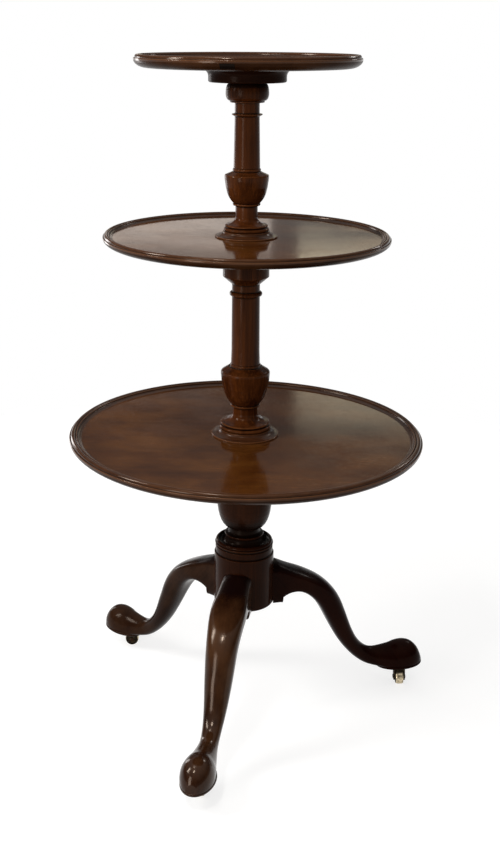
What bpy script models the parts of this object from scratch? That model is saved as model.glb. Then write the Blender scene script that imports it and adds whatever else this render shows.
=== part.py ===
"""Three-tier dumbwaiter table in turned and carved mahogany.

Three dished trays turn on a pillar made of three turned lengths.  The lowest length
ends in a drum, three cabriole legs slide into it on dovetails, and each foot has a
small brass castor.  Lengths are metres, +Z is up and the castors stand on z = 0.
"""
import math

import bpy
import bmesh
from mathutils import Matrix, Vector

for leftover in list(bpy.data.objects):
    bpy.data.objects.remove(leftover, do_unlink=True)

# Clearances that every fit uses
GAP = 0.0003
OVERRUN = 0.002

# Heights of the drum's underside above the floor, and of each tray's outer tip above
# the drum's underside or the tip of the tray below
DRUM_BASE_HEIGHT = 0.182
LOWER_TIP_RISE = 0.293
MIDDLE_TIP_RISE = 0.341
TOP_TIP_RISE = 0.301

# Trays: radius, drop from the rim's outer tip to the underside, width of the rim
LOWER_RADIUS = 0.300
MIDDLE_RADIUS = 0.2435
TOP_RADIUS = 0.1925
LOWER_RIM_DROP = 0.0145
MIDDLE_RIM_DROP = 0.0125
TOP_RIM_DROP = 0.0155
LOWER_RIM_WIDTH = 0.021
MIDDLE_RIM_WIDTH = 0.017
TOP_RIM_WIDTH = 0.017
RIM_RISE = 0.0072
FIELD_SINK = 0.0006
HOUSING_DEPTH = 0.0015
TRAY_STEPS = 64

# Collars let into the trays round the feet of the posts
LOWER_COLLAR_RADIUS = 0.0574
MIDDLE_COLLAR_RADIUS = 0.0533
LOWER_COLLAR_HEIGHT = 0.0107
MIDDLE_COLLAR_HEIGHT = 0.0097
COLLAR_EDGE_SHARE = 0.33
COLLAR_NECK_SHARE = 0.75

# Pillar: the turned lengths' widest radii, their journals, tenons and sockets
DRUM_RADIUS = 0.051
MIDDLE_POST_RADIUS = 0.042
UPPER_POST_RADIUS = 0.0366
MIDDLE_JOURNAL_RADIUS = 0.018
UPPER_JOURNAL_RADIUS = 0.016
MIDDLE_TENON_RADIUS = 0.013
UPPER_TENON_RADIUS = 0.011
TENON_LENGTH = 0.040
SPIGOT_RADIUS = 0.011
SPIGOT_LENGTH = 0.018
SOCKET_END_ROOM = 0.001
POST_STEPS = 28

# Block under the top tray, and the screws that hold it
BOSS_RADIUS = 0.0663
BOSS_FLARE_RADIUS = 0.084
BOSS_HEIGHT = 0.0240
BOSS_DRUM_SHARE = 0.40
BOSS_CHAMFER = 0.0018
BOSS_SCREW_CIRCLE = 0.049
BOSS_SCREW_COUNT = 4
BOSS_SCREW_BITE = 0.010
BOSS_SCREW_RADIUS = 0.0020
BOSS_SCREW_HEAD_RADIUS = 0.0042

# Let-in piece on the front of the top tray's rim
PATCH_AZIMUTH = math.radians(273.7)
PATCH_WIDTH = 0.023
PATCH_HEIGHT = 0.0108
PATCH_DEPTH = 0.009
PATCH_MARGIN = 0.0012

# Legs: reach of the toe from the pillar's axis, and where each leg points
LEG_REACH = 0.3335
LEG_HALF_WIDTH = 0.0265
LEG_SECTION_POINTS = 16
FRONT_AZIMUTH = math.radians(270.0)
RIGHT_AZIMUTH = math.radians(30.0)
LEFT_AZIMUTH = math.radians(154.0)
DOVETAIL_DEPTH = 0.016
DOVETAIL_NECK_HALF_WIDTH = 0.0085
DOVETAIL_TAIL_HALF_WIDTH = 0.012
DOVETAIL_HEIGHT = 0.050
DOVETAIL_KEY = 0.006
PAD_HALF_LENGTH = 0.043
PAD_HALF_WIDTH = 0.0275
PAD_THICKNESS = 0.005
PAD_STEPS = 24

# Iron plate under the drum and its screws
BRACE_THICKNESS = 0.0022
BRACE_HUB_RADIUS = 0.024
BRACE_ARM_REACH = 0.046
BRACE_ARM_HALF_WIDTH = 0.010
BRACE_SCREW_CIRCLE = 0.043
BRACE_SCREW_LENGTH = 0.020
BRACE_SCREW_RADIUS = 0.0018
BRACE_SCREW_HEAD_RADIUS = 0.0036

# Castors
WHEEL_RADIUS = 0.0125
WHEEL_WIDTH = 0.013
WHEEL_CROWN = 0.0012
WHEEL_HEADROOM = 0.0011
WHEEL_STEPS = 24
AXLE_RADIUS = 0.0018
AXLE_HEAD_RADIUS = 0.0032
AXLE_HEAD_THICKNESS = 0.0009
HORN_THICKNESS = 0.0020
HORN_TAIL = 0.009
CHEEK_THICKNESS = 0.0029
CHEEK_ROOM = 0.0006
CHEEK_END_RADIUS = 0.0065
CASTOR_TRAIL = 0.0140
CASTOR_PLATE_RADIUS = 0.0135
CASTOR_PLATE_THICKNESS = 0.0018
PIVOT_RADIUS = 0.0025
PIVOT_HEAD_RADIUS = 0.0042
PIVOT_HEAD_THICKNESS = 0.0014
PIVOT_WELL_RADIUS = 0.0052
PIVOT_WELL_ROOM = 0.0012
PLATE_SCREW_CIRCLE = 0.0096
PLATE_SCREW_COUNT = 3
PLATE_SCREW_LENGTH = 0.010
PLATE_SCREW_RADIUS = 0.0011
PLATE_SCREW_HEAD_RADIUS = 0.0022
FRONT_CASTOR_HEADING = math.radians(90.0)
RIGHT_CASTOR_HEADING = math.radians(284.0)
LEFT_CASTOR_HEADING = math.radians(14.0)

# Screw heads
SCREW_STEPS = 10
SLOT_WIDTH_SHARE = 0.22
SLOT_DEPTH_SHARE = 0.30

# Drawing of curves
ARC_STEPS = 3
HOLE_STEPS = 12
SHARP_ANGLE = math.radians(32.0)
WELD = 0.000002

# Heights that follow from the sizes above
LOWER_TIP_HEIGHT = DRUM_BASE_HEIGHT + LOWER_TIP_RISE
MIDDLE_TIP_HEIGHT = LOWER_TIP_HEIGHT + MIDDLE_TIP_RISE
TOP_TIP_HEIGHT = MIDDLE_TIP_HEIGHT + TOP_TIP_RISE
LOWER_UNDERSIDE = LOWER_TIP_HEIGHT - LOWER_RIM_DROP
MIDDLE_UNDERSIDE = MIDDLE_TIP_HEIGHT - MIDDLE_RIM_DROP
TOP_UNDERSIDE = TOP_TIP_HEIGHT - TOP_RIM_DROP
LOWER_FIELD = LOWER_TIP_HEIGHT - FIELD_SINK
MIDDLE_FIELD = MIDDLE_TIP_HEIGHT - FIELD_SINK
TOP_FIELD = TOP_TIP_HEIGHT - FIELD_SINK
MIDDLE_POST_FOOT = LOWER_FIELD + LOWER_COLLAR_HEIGHT + GAP
UPPER_POST_FOOT = MIDDLE_FIELD + MIDDLE_COLLAR_HEIGHT + GAP
BASE_HEAD = LOWER_UNDERSIDE - GAP
MIDDLE_POST_HEAD = MIDDLE_UNDERSIDE - GAP
BOSS_TOP = TOP_UNDERSIDE - GAP
BOSS_BASE = BOSS_TOP - BOSS_HEIGHT
UPPER_POST_HEAD = BOSS_BASE - GAP
HORN_UNDERSIDE = WHEEL_RADIUS + WHEEL_RADIUS + WHEEL_HEADROOM
HORN_TOP = HORN_UNDERSIDE + HORN_THICKNESS
CASTOR_PLATE_BASE = HORN_TOP + GAP
CASTOR_PLATE_TOP = CASTOR_PLATE_BASE + CASTOR_PLATE_THICKNESS
PAD_BASE = CASTOR_PLATE_TOP + GAP
PAD_CENTRE = LEG_REACH - PAD_HALF_LENGTH
BRACE_TOP = DRUM_BASE_HEIGHT - GAP
BRACE_BASE = BRACE_TOP - BRACE_THICKNESS
LEG_AZIMUTHS = {"front": FRONT_AZIMUTH, "right": RIGHT_AZIMUTH, "left": LEFT_AZIMUTH}
CASTOR_HEADINGS = {
    "front": FRONT_CASTOR_HEADING,
    "right": RIGHT_CASTOR_HEADING,
    "left": LEFT_CASTOR_HEADING,
}

# Finishes: colour, roughness, metallic
MAHOGANY = ((0.095, 0.034, 0.016), 0.28, 0.0)
DARK_MAHOGANY = ((0.045, 0.015, 0.009), 0.30, 0.0)
EBONISED = ((0.012, 0.009, 0.008), 0.45, 0.0)
OLD_BRASS = ((0.42, 0.30, 0.14), 0.38, 1.0)
BLACK_IRON = ((0.045, 0.040, 0.036), 0.55, 1.0)
STEEL = ((0.20, 0.18, 0.16), 0.42, 1.0)

# The box round the whole table is centred on the origin, and the front foot reaches
# further than the lower tray does, so the pillar's axis stands a little behind it.
standing_centre = bpy.data.objects.new("standing_centre", None)
standing_centre.location = (0, (LEG_REACH - LOWER_RADIUS) / 2, 0)
bpy.context.scene.collection.objects.link(standing_centre)


def coat(piece, finish):
    """Give a piece its own material."""
    colour, roughness, metallic = finish
    material = bpy.data.materials.new(piece.name)
    material.use_nodes = True
    shader = material.node_tree.nodes["Principled BSDF"]
    shader.inputs["Base Color"].default_value = (*colour, 1.0)
    shader.inputs["Roughness"].default_value = roughness
    shader.inputs["Metallic"].default_value = metallic
    piece.data.materials.clear()
    piece.data.materials.append(material)


def put_in_scene(name, shape):
    """Make an object of a finished bmesh."""
    mesh = bpy.data.meshes.new(name)
    shape.to_mesh(mesh)
    shape.free()
    piece = bpy.data.objects.new(name, mesh)
    bpy.context.scene.collection.objects.link(piece)
    return piece


def carve(piece, tool, operation="DIFFERENCE"):
    """Cut a tool out of a piece, or join it on, and take the tool away."""
    modifier = piece.modifiers.new("carve", "BOOLEAN")
    modifier.operation = operation
    modifier.object = tool
    bpy.context.view_layer.update()
    graph = bpy.context.evaluated_depsgraph_get()
    carved = bpy.data.meshes.new_from_object(piece.evaluated_get(graph))
    piece.modifiers.remove(modifier)
    piece.data = carved
    bpy.data.objects.remove(tool, do_unlink=True)


def finish_piece(piece, finish, origin=(0, 0, 0), parent=standing_centre):
    """Shade a piece, move its origin to its seat or axis and hang it on its parent."""
    coat(piece, finish)
    piece.data.transform(Matrix.Translation(-Vector(origin)))
    piece.location = origin
    piece.parent = parent
    piece.data.shade_smooth()
    piece.data.set_sharp_from_angle(angle=SHARP_ANGLE)
    return piece


def turned(name, outline, steps, centre=(0, 0)):
    """Turn an outline of (radius, height) points about a vertical axis."""
    shape = bmesh.new()
    verts = [shape.verts.new((radius, 0, height)) for radius, height in outline]
    edges = [shape.edges.new(pair) for pair in zip(verts, verts[1:])]
    if outline[0][0] > 0:
        edges.append(shape.edges.new((verts[-1], verts[0])))
    bmesh.ops.spin(
        shape, geom=verts + edges, cent=(0, 0, 0), axis=(0, 0, 1),
        angle=math.tau, steps=steps, use_merge=True,
    )
    bmesh.ops.remove_doubles(shape, verts=shape.verts, dist=WELD)
    bmesh.ops.recalc_face_normals(shape, faces=shape.faces)
    bmesh.ops.translate(shape, verts=shape.verts, vec=(*centre, 0))
    return put_in_scene(name, shape)


def prism(name, outline, low, high, along="Z"):
    """Raise a closed outline of points between two levels, along Z or along Y."""
    shape = bmesh.new()
    if along == "Z":
        verts = [shape.verts.new((x, y, low)) for x, y in outline]
        lift = Vector((0, 0, high - low))
    else:
        verts = [shape.verts.new((x, low, z)) for x, z in outline]
        lift = Vector((0, high - low, 0))
    face = shape.faces.new(verts)
    raised = bmesh.ops.extrude_face_region(shape, geom=[face])
    top = [item for item in raised["geom"] if isinstance(item, bmesh.types.BMVert)]
    bmesh.ops.translate(shape, verts=top, vec=lift)
    bmesh.ops.recalc_face_normals(shape, faces=shape.faces)
    return put_in_scene(name, shape)


def arc(centre, radii, start, end, steps):
    """Points of an elliptic arc between two angles, both ends included."""
    angles = [start + (end - start) * step / steps for step in range(steps + 1)]
    return [
        (centre[0] + radii[0] * math.cos(angle), centre[1] + radii[1] * math.sin(angle))
        for angle in angles
    ]


def mouldings(shares, foot, length, widest):
    """Follow a table of mouldings up a turned length.

    A line runs straight to its point.  A bead swells out on the way, a sweep leaves
    sideways and arrives upright, and a turn leaves upright and arrives sideways.
    """
    outline = []
    for kind, height_share, radius_share in shares:
        height = foot + height_share * length
        radius = radius_share * widest
        if kind != "line":
            last_radius, last_height = outline[-1]
            for step in range(1, ARC_STEPS):
                angle = math.pi / 2 * step / ARC_STEPS
                across, up = math.sin(angle), 1 - math.cos(angle)
                if kind == "turn":
                    across, up = up, across
                if kind == "bead":
                    up = step / ARC_STEPS
                    across = up
                    swell = math.sin(math.pi * up) * (height - last_height) / 2
                else:
                    swell = 0
                outline.append((
                    last_radius + (radius - last_radius) * across + swell,
                    last_height + (height - last_height) * up,
                ))
        outline.append((radius, height))
    return outline


def screw(name, head_radius, shank_radius, length, steps=SCREW_STEPS):
    """A countersunk screw, head down: its head's flat is at z = 0."""
    sink = head_radius - shank_radius
    outline = [
        (0, 0),
        (head_radius, 0),
        (shank_radius, sink),
        (shank_radius, length - shank_radius),
        (0, length),
    ]
    return turned(name, outline, steps)


def screw_hole(head_radius, shank_radius, length, at):
    """Tool for the hole of a screw, larger than it by the gap all round."""
    sink = head_radius - shank_radius
    outline = [
        (0, -OVERRUN),
        (head_radius + GAP, -OVERRUN),
        (head_radius + GAP, GAP / 2),
        (shank_radius + GAP, sink + GAP),
        (shank_radius + GAP, length + GAP),
        (0, length + GAP),
    ]
    tool = turned("hole", outline, SCREW_STEPS)
    tool.data.transform(Matrix.Translation(at))
    return tool


def slotted(piece, head_radius, shank_radius):
    """Cut the driver's slot across a screw's head."""
    half = head_radius * SLOT_WIDTH_SHARE / 2
    depth = (head_radius - shank_radius) * SLOT_DEPTH_SHARE
    reach = head_radius + OVERRUN
    outline = [(-reach, -half), (reach, -half), (reach, half), (-reach, half)]
    carve(piece, prism("slot", outline, -OVERRUN, depth))
    return piece


# Rim of a tray, from its outer tip inwards and up: shares of the rim's width and rise.
# A thumb moulding, a quirk, a bead and a hollow that runs down to the field.
RIM_TOP_SHARES = (
    (0.00, 0.10),
    (0.07, 0.50),
    (0.26, 0.72),
    (0.33, 0.58),
    (0.39, 0.88),
    (0.51, 1.00),
    (0.64, 0.88),
    (0.78, 0.40),
)
RIM_TIP_SHARE = 0.12
RIM_SOFFIT_SHARE = 0.86


def tray_outline(radius, tip, drop, rim_width):
    """Underside, rounded edge and moulded rim of a tray, ending where its field begins."""
    land = tip - drop * RIM_TIP_SHARE
    soffit = radius - rim_width * RIM_SOFFIT_SHARE
    edge = arc(
        (soffit, land), (radius - soffit - drop * RIM_TIP_SHARE, drop - drop * RIM_TIP_SHARE),
        -math.pi / 2, 0, ARC_STEPS,
    )
    top = [
        (radius - rim_width * inset, tip + RIM_RISE * rise) for inset, rise in RIM_TOP_SHARES
    ]
    return edge + top + [(radius - rim_width, tip - FIELD_SINK)]


def build_tray(name, radius, tip, drop, rim_width, collar_radius, bore_radius):
    """A dished tray with a housing for its collar and a bore for the post's journal."""
    underside = tip - drop
    field = tip - FIELD_SINK
    housing = collar_radius + GAP
    outline = [(bore_radius, underside)]
    outline += tray_outline(radius, tip, drop, rim_width)
    outline += [(housing, field), (housing, field - HOUSING_DEPTH)]
    outline.append((bore_radius, field - HOUSING_DEPTH))
    return turned(name, outline, TRAY_STEPS)


def build_collar(name, radius, field, height, bore_radius):
    """A thin spreading ring: a square edge, then a hollow up to the post's foot."""
    base = field - HOUSING_DEPTH + GAP
    edge = field + height * COLLAR_EDGE_SHARE
    neck = radius * COLLAR_NECK_SHARE
    hollow = arc(
        (radius, field + height), (radius - neck, field + height - edge),
        -math.pi / 2, -math.pi, ARC_STEPS,
    )
    outline = [(bore_radius, base), (radius, base), (radius, edge)]
    outline += hollow[1:] + [(bore_radius, field + height)]
    return turned(name, outline, POST_STEPS)


# Base pillar: drum, neck, urn, short shaft and head.  Shares of its length and of the
# drum's radius, from the underside up.
BASE_SHARES = (
    ("line", 0.000, 0.975),
    ("line", 0.006, 1.000),
    ("line", 0.309, 1.000),
    ("line", 0.314, 0.945),
    ("line", 0.319, 0.945),
    ("line", 0.321, 0.966),
    ("line", 0.352, 0.966),
    ("line", 0.355, 0.937),
    ("line", 0.360, 0.937),
    ("line", 0.363, 0.968),
    ("line", 0.376, 0.968),
    ("turn", 0.393, 0.850),
    ("line", 0.391, 0.765),
    ("sweep", 0.415, 0.655),
    ("line", 0.422, 0.692),
    ("line", 0.430, 0.692),
    ("sweep", 0.454, 0.522),
    ("sweep", 0.633, 0.916),
    ("line", 0.669, 0.904),
    ("line", 0.687, 0.875),
    ("line", 0.712, 0.627),
    ("line", 0.730, 0.627),
    ("line", 0.735, 0.561),
    ("line", 0.834, 0.525),
    ("bead", 0.866, 0.525),
    ("line", 0.902, 0.525),
    ("line", 0.906, 0.553),
    ("line", 0.951, 0.853),
    ("line", 1.000, 0.853),
)

# Middle post, from its foot ring up: shares of its length and of its widest radius
MIDDLE_POST_SHARES = (
    ("line", 0.000, 0.955),
    ("bead", 0.022, 0.955),
    ("line", 0.026, 0.938),
    ("line", 0.030, 0.986),
    ("line", 0.035, 0.981),
    ("sweep", 0.071, 0.495),
    ("line", 0.114, 0.495),
    ("line", 0.117, 0.600),
    ("bead", 0.131, 0.600),
    ("line", 0.159, 0.750),
    ("line", 0.192, 0.843),
    ("line", 0.228, 0.914),
    ("line", 0.266, 0.960),
    ("line", 0.307, 0.971),
    ("line", 0.315, 0.943),
    ("line", 0.328, 0.695),
    ("line", 0.342, 0.695),
    ("line", 0.346, 0.614),
    ("line", 0.379, 0.586),
    ("line", 0.424, 0.569),
    ("line", 0.718, 0.567),
    ("bead", 0.744, 0.567),
    ("line", 0.784, 0.567),
    ("line", 0.786, 0.595),
    ("line", 0.825, 0.940),
    ("line", 0.889, 0.940),
    ("line", 0.892, 0.869),
    ("line", 0.952, 0.869),
    ("line", 0.977, 1.048),
    ("line", 1.000, 1.048),
)

# Upper post, in the same way
UPPER_POST_SHARES = (
    ("line", 0.000, 0.955),
    ("bead", 0.026, 0.955),
    ("line", 0.030, 0.935),
    ("line", 0.034, 1.000),
    ("line", 0.041, 0.995),
    ("sweep", 0.090, 0.525),
    ("line", 0.170, 0.525),
    ("line", 0.172, 0.635),
    ("bead", 0.197, 0.635),
    ("line", 0.229, 0.792),
    ("line", 0.255, 0.866),
    ("line", 0.297, 0.940),
    ("line", 0.345, 0.995),
    ("line", 0.380, 1.000),
    ("line", 0.389, 0.950),
    ("line", 0.400, 0.645),
    ("line", 0.421, 0.645),
    ("line", 0.427, 0.600),
    ("line", 0.778, 0.564),
    ("line", 0.797, 0.680),
    ("line", 0.815, 0.566),
    ("line", 0.879, 0.566),
    ("line", 0.881, 0.745),
    ("line", 0.893, 0.745),
    ("line", 0.895, 0.820),
    ("sweep", 0.941, 0.984),
    ("turn", 1.000, 0.877),
)


def dovetail(name, clearance, low, high, root):
    """The tail of a leg, or with a clearance its slot, in the leg's own frame."""
    tail = DRUM_RADIUS - DOVETAIL_DEPTH
    spread = (DOVETAIL_TAIL_HALF_WIDTH - DOVETAIL_NECK_HALF_WIDTH) / DOVETAIL_DEPTH
    neck_half = DOVETAIL_NECK_HALF_WIDTH + clearance - spread * (root - DRUM_RADIUS)
    tail_half = DOVETAIL_TAIL_HALF_WIDTH + clearance
    outline = [(tail, -tail_half), (root, -neck_half), (root, neck_half), (tail, tail_half)]
    return prism(name, outline, low, high)


def build_base_column():
    """Turn the base pillar with its blind socket and cut the legs' dovetail slots."""
    outline = [(0, DRUM_BASE_HEIGHT)]
    outline += mouldings(BASE_SHARES, DRUM_BASE_HEIGHT, BASE_HEAD - DRUM_BASE_HEIGHT, DRUM_RADIUS)
    socket = MIDDLE_TENON_RADIUS + GAP
    depth = TENON_LENGTH + SOCKET_END_ROOM
    outline += [(socket, BASE_HEAD), (socket, BASE_HEAD - depth), (0, BASE_HEAD - depth)]
    column = turned("base_column", outline, POST_STEPS)
    for azimuth in LEG_AZIMUTHS.values():
        slot = dovetail(
            "slot", GAP, DRUM_BASE_HEIGHT - OVERRUN,
            DRUM_BASE_HEIGHT + DOVETAIL_HEIGHT + GAP, DRUM_RADIUS + OVERRUN,
        )
        slot.data.transform(Matrix.Rotation(azimuth, 4, "Z"))
        carve(column, slot)
    carve(column, screw_hole(
        BRACE_SCREW_HEAD_RADIUS, BRACE_SCREW_RADIUS, BRACE_SCREW_LENGTH, (0, 0, BRACE_BASE),
    ))
    return finish_piece(column, MAHOGANY, (0, 0, DRUM_BASE_HEIGHT))


def build_middle_post():
    """Turn the middle post: tenon, journal, mouldings and a socket in its head."""
    shoulder = BASE_HEAD + GAP
    end = BASE_HEAD - TENON_LENGTH
    socket = UPPER_TENON_RADIUS + GAP
    depth = TENON_LENGTH + SOCKET_END_ROOM
    outline = [
        (0, end),
        (MIDDLE_TENON_RADIUS, end),
        (MIDDLE_TENON_RADIUS, shoulder),
        (MIDDLE_JOURNAL_RADIUS, shoulder),
        (MIDDLE_JOURNAL_RADIUS, MIDDLE_POST_FOOT),
    ]
    outline += mouldings(
        MIDDLE_POST_SHARES, MIDDLE_POST_FOOT, MIDDLE_POST_HEAD - MIDDLE_POST_FOOT,
        MIDDLE_POST_RADIUS,
    )
    outline += [
        (socket, MIDDLE_POST_HEAD),
        (socket, MIDDLE_POST_HEAD - depth),
        (0, MIDDLE_POST_HEAD - depth),
    ]
    post = turned("middle_post", outline, POST_STEPS)
    return finish_piece(post, MAHOGANY, (0, 0, MIDDLE_POST_FOOT))


def build_upper_post():
    """Turn the upper post: tenon, journal, mouldings and the spigot for the boss."""
    shoulder = MIDDLE_POST_HEAD + GAP
    end = MIDDLE_POST_HEAD - TENON_LENGTH
    outline = [
        (0, end),
        (UPPER_TENON_RADIUS, end),
        (UPPER_TENON_RADIUS, shoulder),
        (UPPER_JOURNAL_RADIUS, shoulder),
        (UPPER_JOURNAL_RADIUS, UPPER_POST_FOOT),
    ]
    outline += mouldings(
        UPPER_POST_SHARES, UPPER_POST_FOOT, UPPER_POST_HEAD - UPPER_POST_FOOT,
        UPPER_POST_RADIUS,
    )
    outline += [
        (SPIGOT_RADIUS, UPPER_POST_HEAD),
        (SPIGOT_RADIUS, UPPER_POST_HEAD + SPIGOT_LENGTH),
        (0, UPPER_POST_HEAD + SPIGOT_LENGTH),
    ]
    post = turned("upper_post", outline, POST_STEPS)
    return finish_piece(post, MAHOGANY, (0, 0, UPPER_POST_FOOT))


def round_places(circle, count):
    """Places on a circle about the pillar's axis, half a step off the front."""
    angles = [math.tau * (step + 1 / 2) / count for step in range(count)]
    return [(circle * math.cos(angle), circle * math.sin(angle)) for angle in angles]


def build_tiers():
    """The three trays, their collars, and the boss with its screws."""
    lower_bore = MIDDLE_JOURNAL_RADIUS + GAP
    middle_bore = UPPER_JOURNAL_RADIUS + GAP
    lower = build_tray(
        "lower_tray", LOWER_RADIUS, LOWER_TIP_HEIGHT, LOWER_RIM_DROP, LOWER_RIM_WIDTH,
        LOWER_COLLAR_RADIUS, lower_bore,
    )
    finish_piece(lower, MAHOGANY, (0, 0, LOWER_UNDERSIDE))
    middle = build_tray(
        "middle_tray", MIDDLE_RADIUS, MIDDLE_TIP_HEIGHT, MIDDLE_RIM_DROP, MIDDLE_RIM_WIDTH,
        MIDDLE_COLLAR_RADIUS, middle_bore,
    )
    finish_piece(middle, MAHOGANY, (0, 0, MIDDLE_UNDERSIDE))
    lower_collar = build_collar(
        "lower_collar", LOWER_COLLAR_RADIUS, LOWER_FIELD, LOWER_COLLAR_HEIGHT, lower_bore,
    )
    finish_piece(lower_collar, DARK_MAHOGANY, (0, 0, LOWER_FIELD))
    middle_collar = build_collar(
        "middle_collar", MIDDLE_COLLAR_RADIUS, MIDDLE_FIELD, MIDDLE_COLLAR_HEIGHT, middle_bore,
    )
    finish_piece(middle_collar, DARK_MAHOGANY, (0, 0, MIDDLE_FIELD))

    outline = [(0, TOP_UNDERSIDE)]
    outline += tray_outline(TOP_RADIUS, TOP_TIP_HEIGHT, TOP_RIM_DROP, TOP_RIM_WIDTH)
    outline.append((0, TOP_FIELD))
    top = turned("top_tray", outline, TRAY_STEPS)
    places = round_places(BOSS_SCREW_CIRCLE, BOSS_SCREW_COUNT)
    length = BOSS_HEIGHT + GAP + BOSS_SCREW_BITE
    for x, y in places:
        carve(top, screw_hole(
            BOSS_SCREW_HEAD_RADIUS, BOSS_SCREW_RADIUS, length, (x, y, BOSS_BASE),
        ))
    inlay = turned("rim_patch", outline, TRAY_STEPS)
    carve(inlay, patch_block("patch_block", 0), "INTERSECT")
    carve(top, patch_block("pocket", GAP))
    finish_piece(inlay, EBONISED, (0, 0, TOP_UNDERSIDE))
    finish_piece(top, MAHOGANY, (0, 0, TOP_UNDERSIDE))

    boss = build_boss(places, length)
    finish_piece(boss, DARK_MAHOGANY, (0, 0, BOSS_BASE))
    for number, (x, y) in enumerate(places, start=1):
        one = screw(
            f"boss_screw_{number}", BOSS_SCREW_HEAD_RADIUS, BOSS_SCREW_RADIUS, length,
        )
        slotted(one, BOSS_SCREW_HEAD_RADIUS, BOSS_SCREW_RADIUS)
        one.data.transform(Matrix.Translation((x, y, BOSS_BASE)))
        finish_piece(one, STEEL, (x, y, BOSS_BASE))


def patch_block(name, clearance):
    """The block of rim that the let-in piece takes up, at its place on the rim."""
    low = TOP_UNDERSIDE + PATCH_MARGIN - clearance
    high = TOP_UNDERSIDE + PATCH_MARGIN + PATCH_HEIGHT + clearance
    near = TOP_RADIUS - PATCH_DEPTH - clearance
    far = TOP_RADIUS + OVERRUN
    half = PATCH_WIDTH / 2 + clearance
    block = prism(name, [(near, -half), (far, -half), (far, half), (near, half)], low, high)
    block.data.transform(Matrix.Rotation(PATCH_AZIMUTH, 4, "Z"))
    return block


def build_boss(places, length):
    """The turned block: drum, hollow flare up to the tray, blind hole for the spigot."""
    drum_top = BOSS_BASE + BOSS_HEIGHT * BOSS_DRUM_SHARE
    hole = SPIGOT_RADIUS + GAP
    depth = SPIGOT_LENGTH + SOCKET_END_ROOM
    flare = arc(
        (BOSS_FLARE_RADIUS, drum_top), (BOSS_FLARE_RADIUS - BOSS_RADIUS, BOSS_TOP - drum_top),
        math.pi, math.pi / 2, ARC_STEPS + 1,
    )
    outline = [
        (0, BOSS_BASE + depth),
        (hole, BOSS_BASE + depth),
        (hole, BOSS_BASE),
        (BOSS_RADIUS - BOSS_CHAMFER, BOSS_BASE),
        (BOSS_RADIUS, BOSS_BASE + BOSS_CHAMFER),
    ]
    outline += flare + [(0, BOSS_TOP)]
    boss = turned("top_boss", outline, POST_STEPS)
    for x, y in places:
        carve(boss, screw_hole(
            BOSS_SCREW_HEAD_RADIUS, BOSS_SCREW_RADIUS, length, (x, y, BOSS_BASE),
        ))
    return boss


# Sections along a leg, from inside the drum to the toe.  Outward shares run from the
# drum's side to the toe, upward shares from the foot's base to the drum's underside.
# Each row: the section's top point, its bottom point, its half width as a share,
# where its widest line lies, and how square its upper and lower corners are.
LEG_SHARES = (
    (-0.040, 1.432, -0.040, 0.967, 0.97, 0.50, 5.0, 9.0),
    (0.020, 1.414, 0.030, 0.967, 0.97, 0.50, 5.0, 9.0),
    (0.042, 1.398, 0.046, 0.967, 0.98, 0.50, 5.0, 9.0),
    (0.052, 1.389, 0.049, 1.016, 0.98, 0.50, 5.0, 8.0),
    (0.116, 1.333, 0.095, 1.063, 1.03, 0.50, 4.4, 7.0),
    (0.187, 1.281, 0.148, 1.073, 1.10, 0.50, 3.8, 6.0),
    (0.250, 1.228, 0.194, 1.040, 1.11, 0.50, 3.3, 5.0),
    (0.306, 1.172, 0.236, 0.980, 1.07, 0.50, 3.0, 4.4),
    (0.359, 1.096, 0.271, 0.908, 1.02, 0.50, 2.8, 3.8),
    (0.408, 0.993, 0.303, 0.822, 0.97, 0.50, 2.6, 3.3),
    (0.444, 0.881, 0.333, 0.723, 0.93, 0.50, 2.5, 3.0),
    (0.472, 0.756, 0.363, 0.617, 0.88, 0.50, 2.4, 2.7),
    (0.496, 0.630, 0.394, 0.512, 0.82, 0.50, 2.3, 2.5),
    (0.525, 0.498, 0.433, 0.393, 0.74, 0.50, 2.2, 2.4),
    (0.563, 0.370, 0.482, 0.274, 0.65, 0.50, 2.2, 2.3),
    (0.616, 0.271, 0.546, 0.155, 0.57, 0.50, 2.1, 2.3),
    (0.676, 0.234, 0.623, 0.063, 0.57, 0.42, 2.0, 2.6),
    (0.778, 0.251, 0.743, 0.013, 0.79, 0.24, 2.0, 4.0),
    (0.831, 0.271, 0.806, 0.013, 0.95, 0.22, 2.0, 5.0),
    (0.884, 0.274, 0.870, 0.013, 1.01, 0.22, 2.0, 5.0),
    (0.930, 0.248, 0.926, 0.013, 0.89, 0.22, 2.0, 5.0),
    (0.967, 0.185, 0.968, 0.013, 0.63, 0.24, 2.0, 4.0),
    (0.989, 0.102, 0.993, 0.015, 0.30, 0.30, 2.0, 3.0),
)


def leg_section(shape, row):
    """One ring of points round a leg, in the leg's own frame with the leg along +X."""
    top_out, top_up, base_out, base_up, width, belly, crown_power, keel_power = row
    span = LEG_REACH - DRUM_RADIUS
    rise = DRUM_BASE_HEIGHT - PAD_BASE
    top = Vector((DRUM_RADIUS + top_out * span, 0, PAD_BASE + top_up * rise))
    base = Vector((DRUM_RADIUS + base_out * span, 0, PAD_BASE + base_up * rise))
    middle = base.lerp(top, belly)
    ring = []
    for step in range(LEG_SECTION_POINTS):
        angle = math.tau * (step + 1 / 2) / LEG_SECTION_POINTS
        across, up = math.cos(angle), math.sin(angle)
        power = crown_power if up > 0 else keel_power
        side = math.copysign(abs(across) ** (2 / power), across)
        height = abs(up) ** (2 / power)
        centre = middle.lerp(top if up > 0 else base, height)
        sideways = Vector((0, side * width * LEG_HALF_WIDTH, 0))
        ring.append(shape.verts.new(centre + sideways))
    return ring


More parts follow.
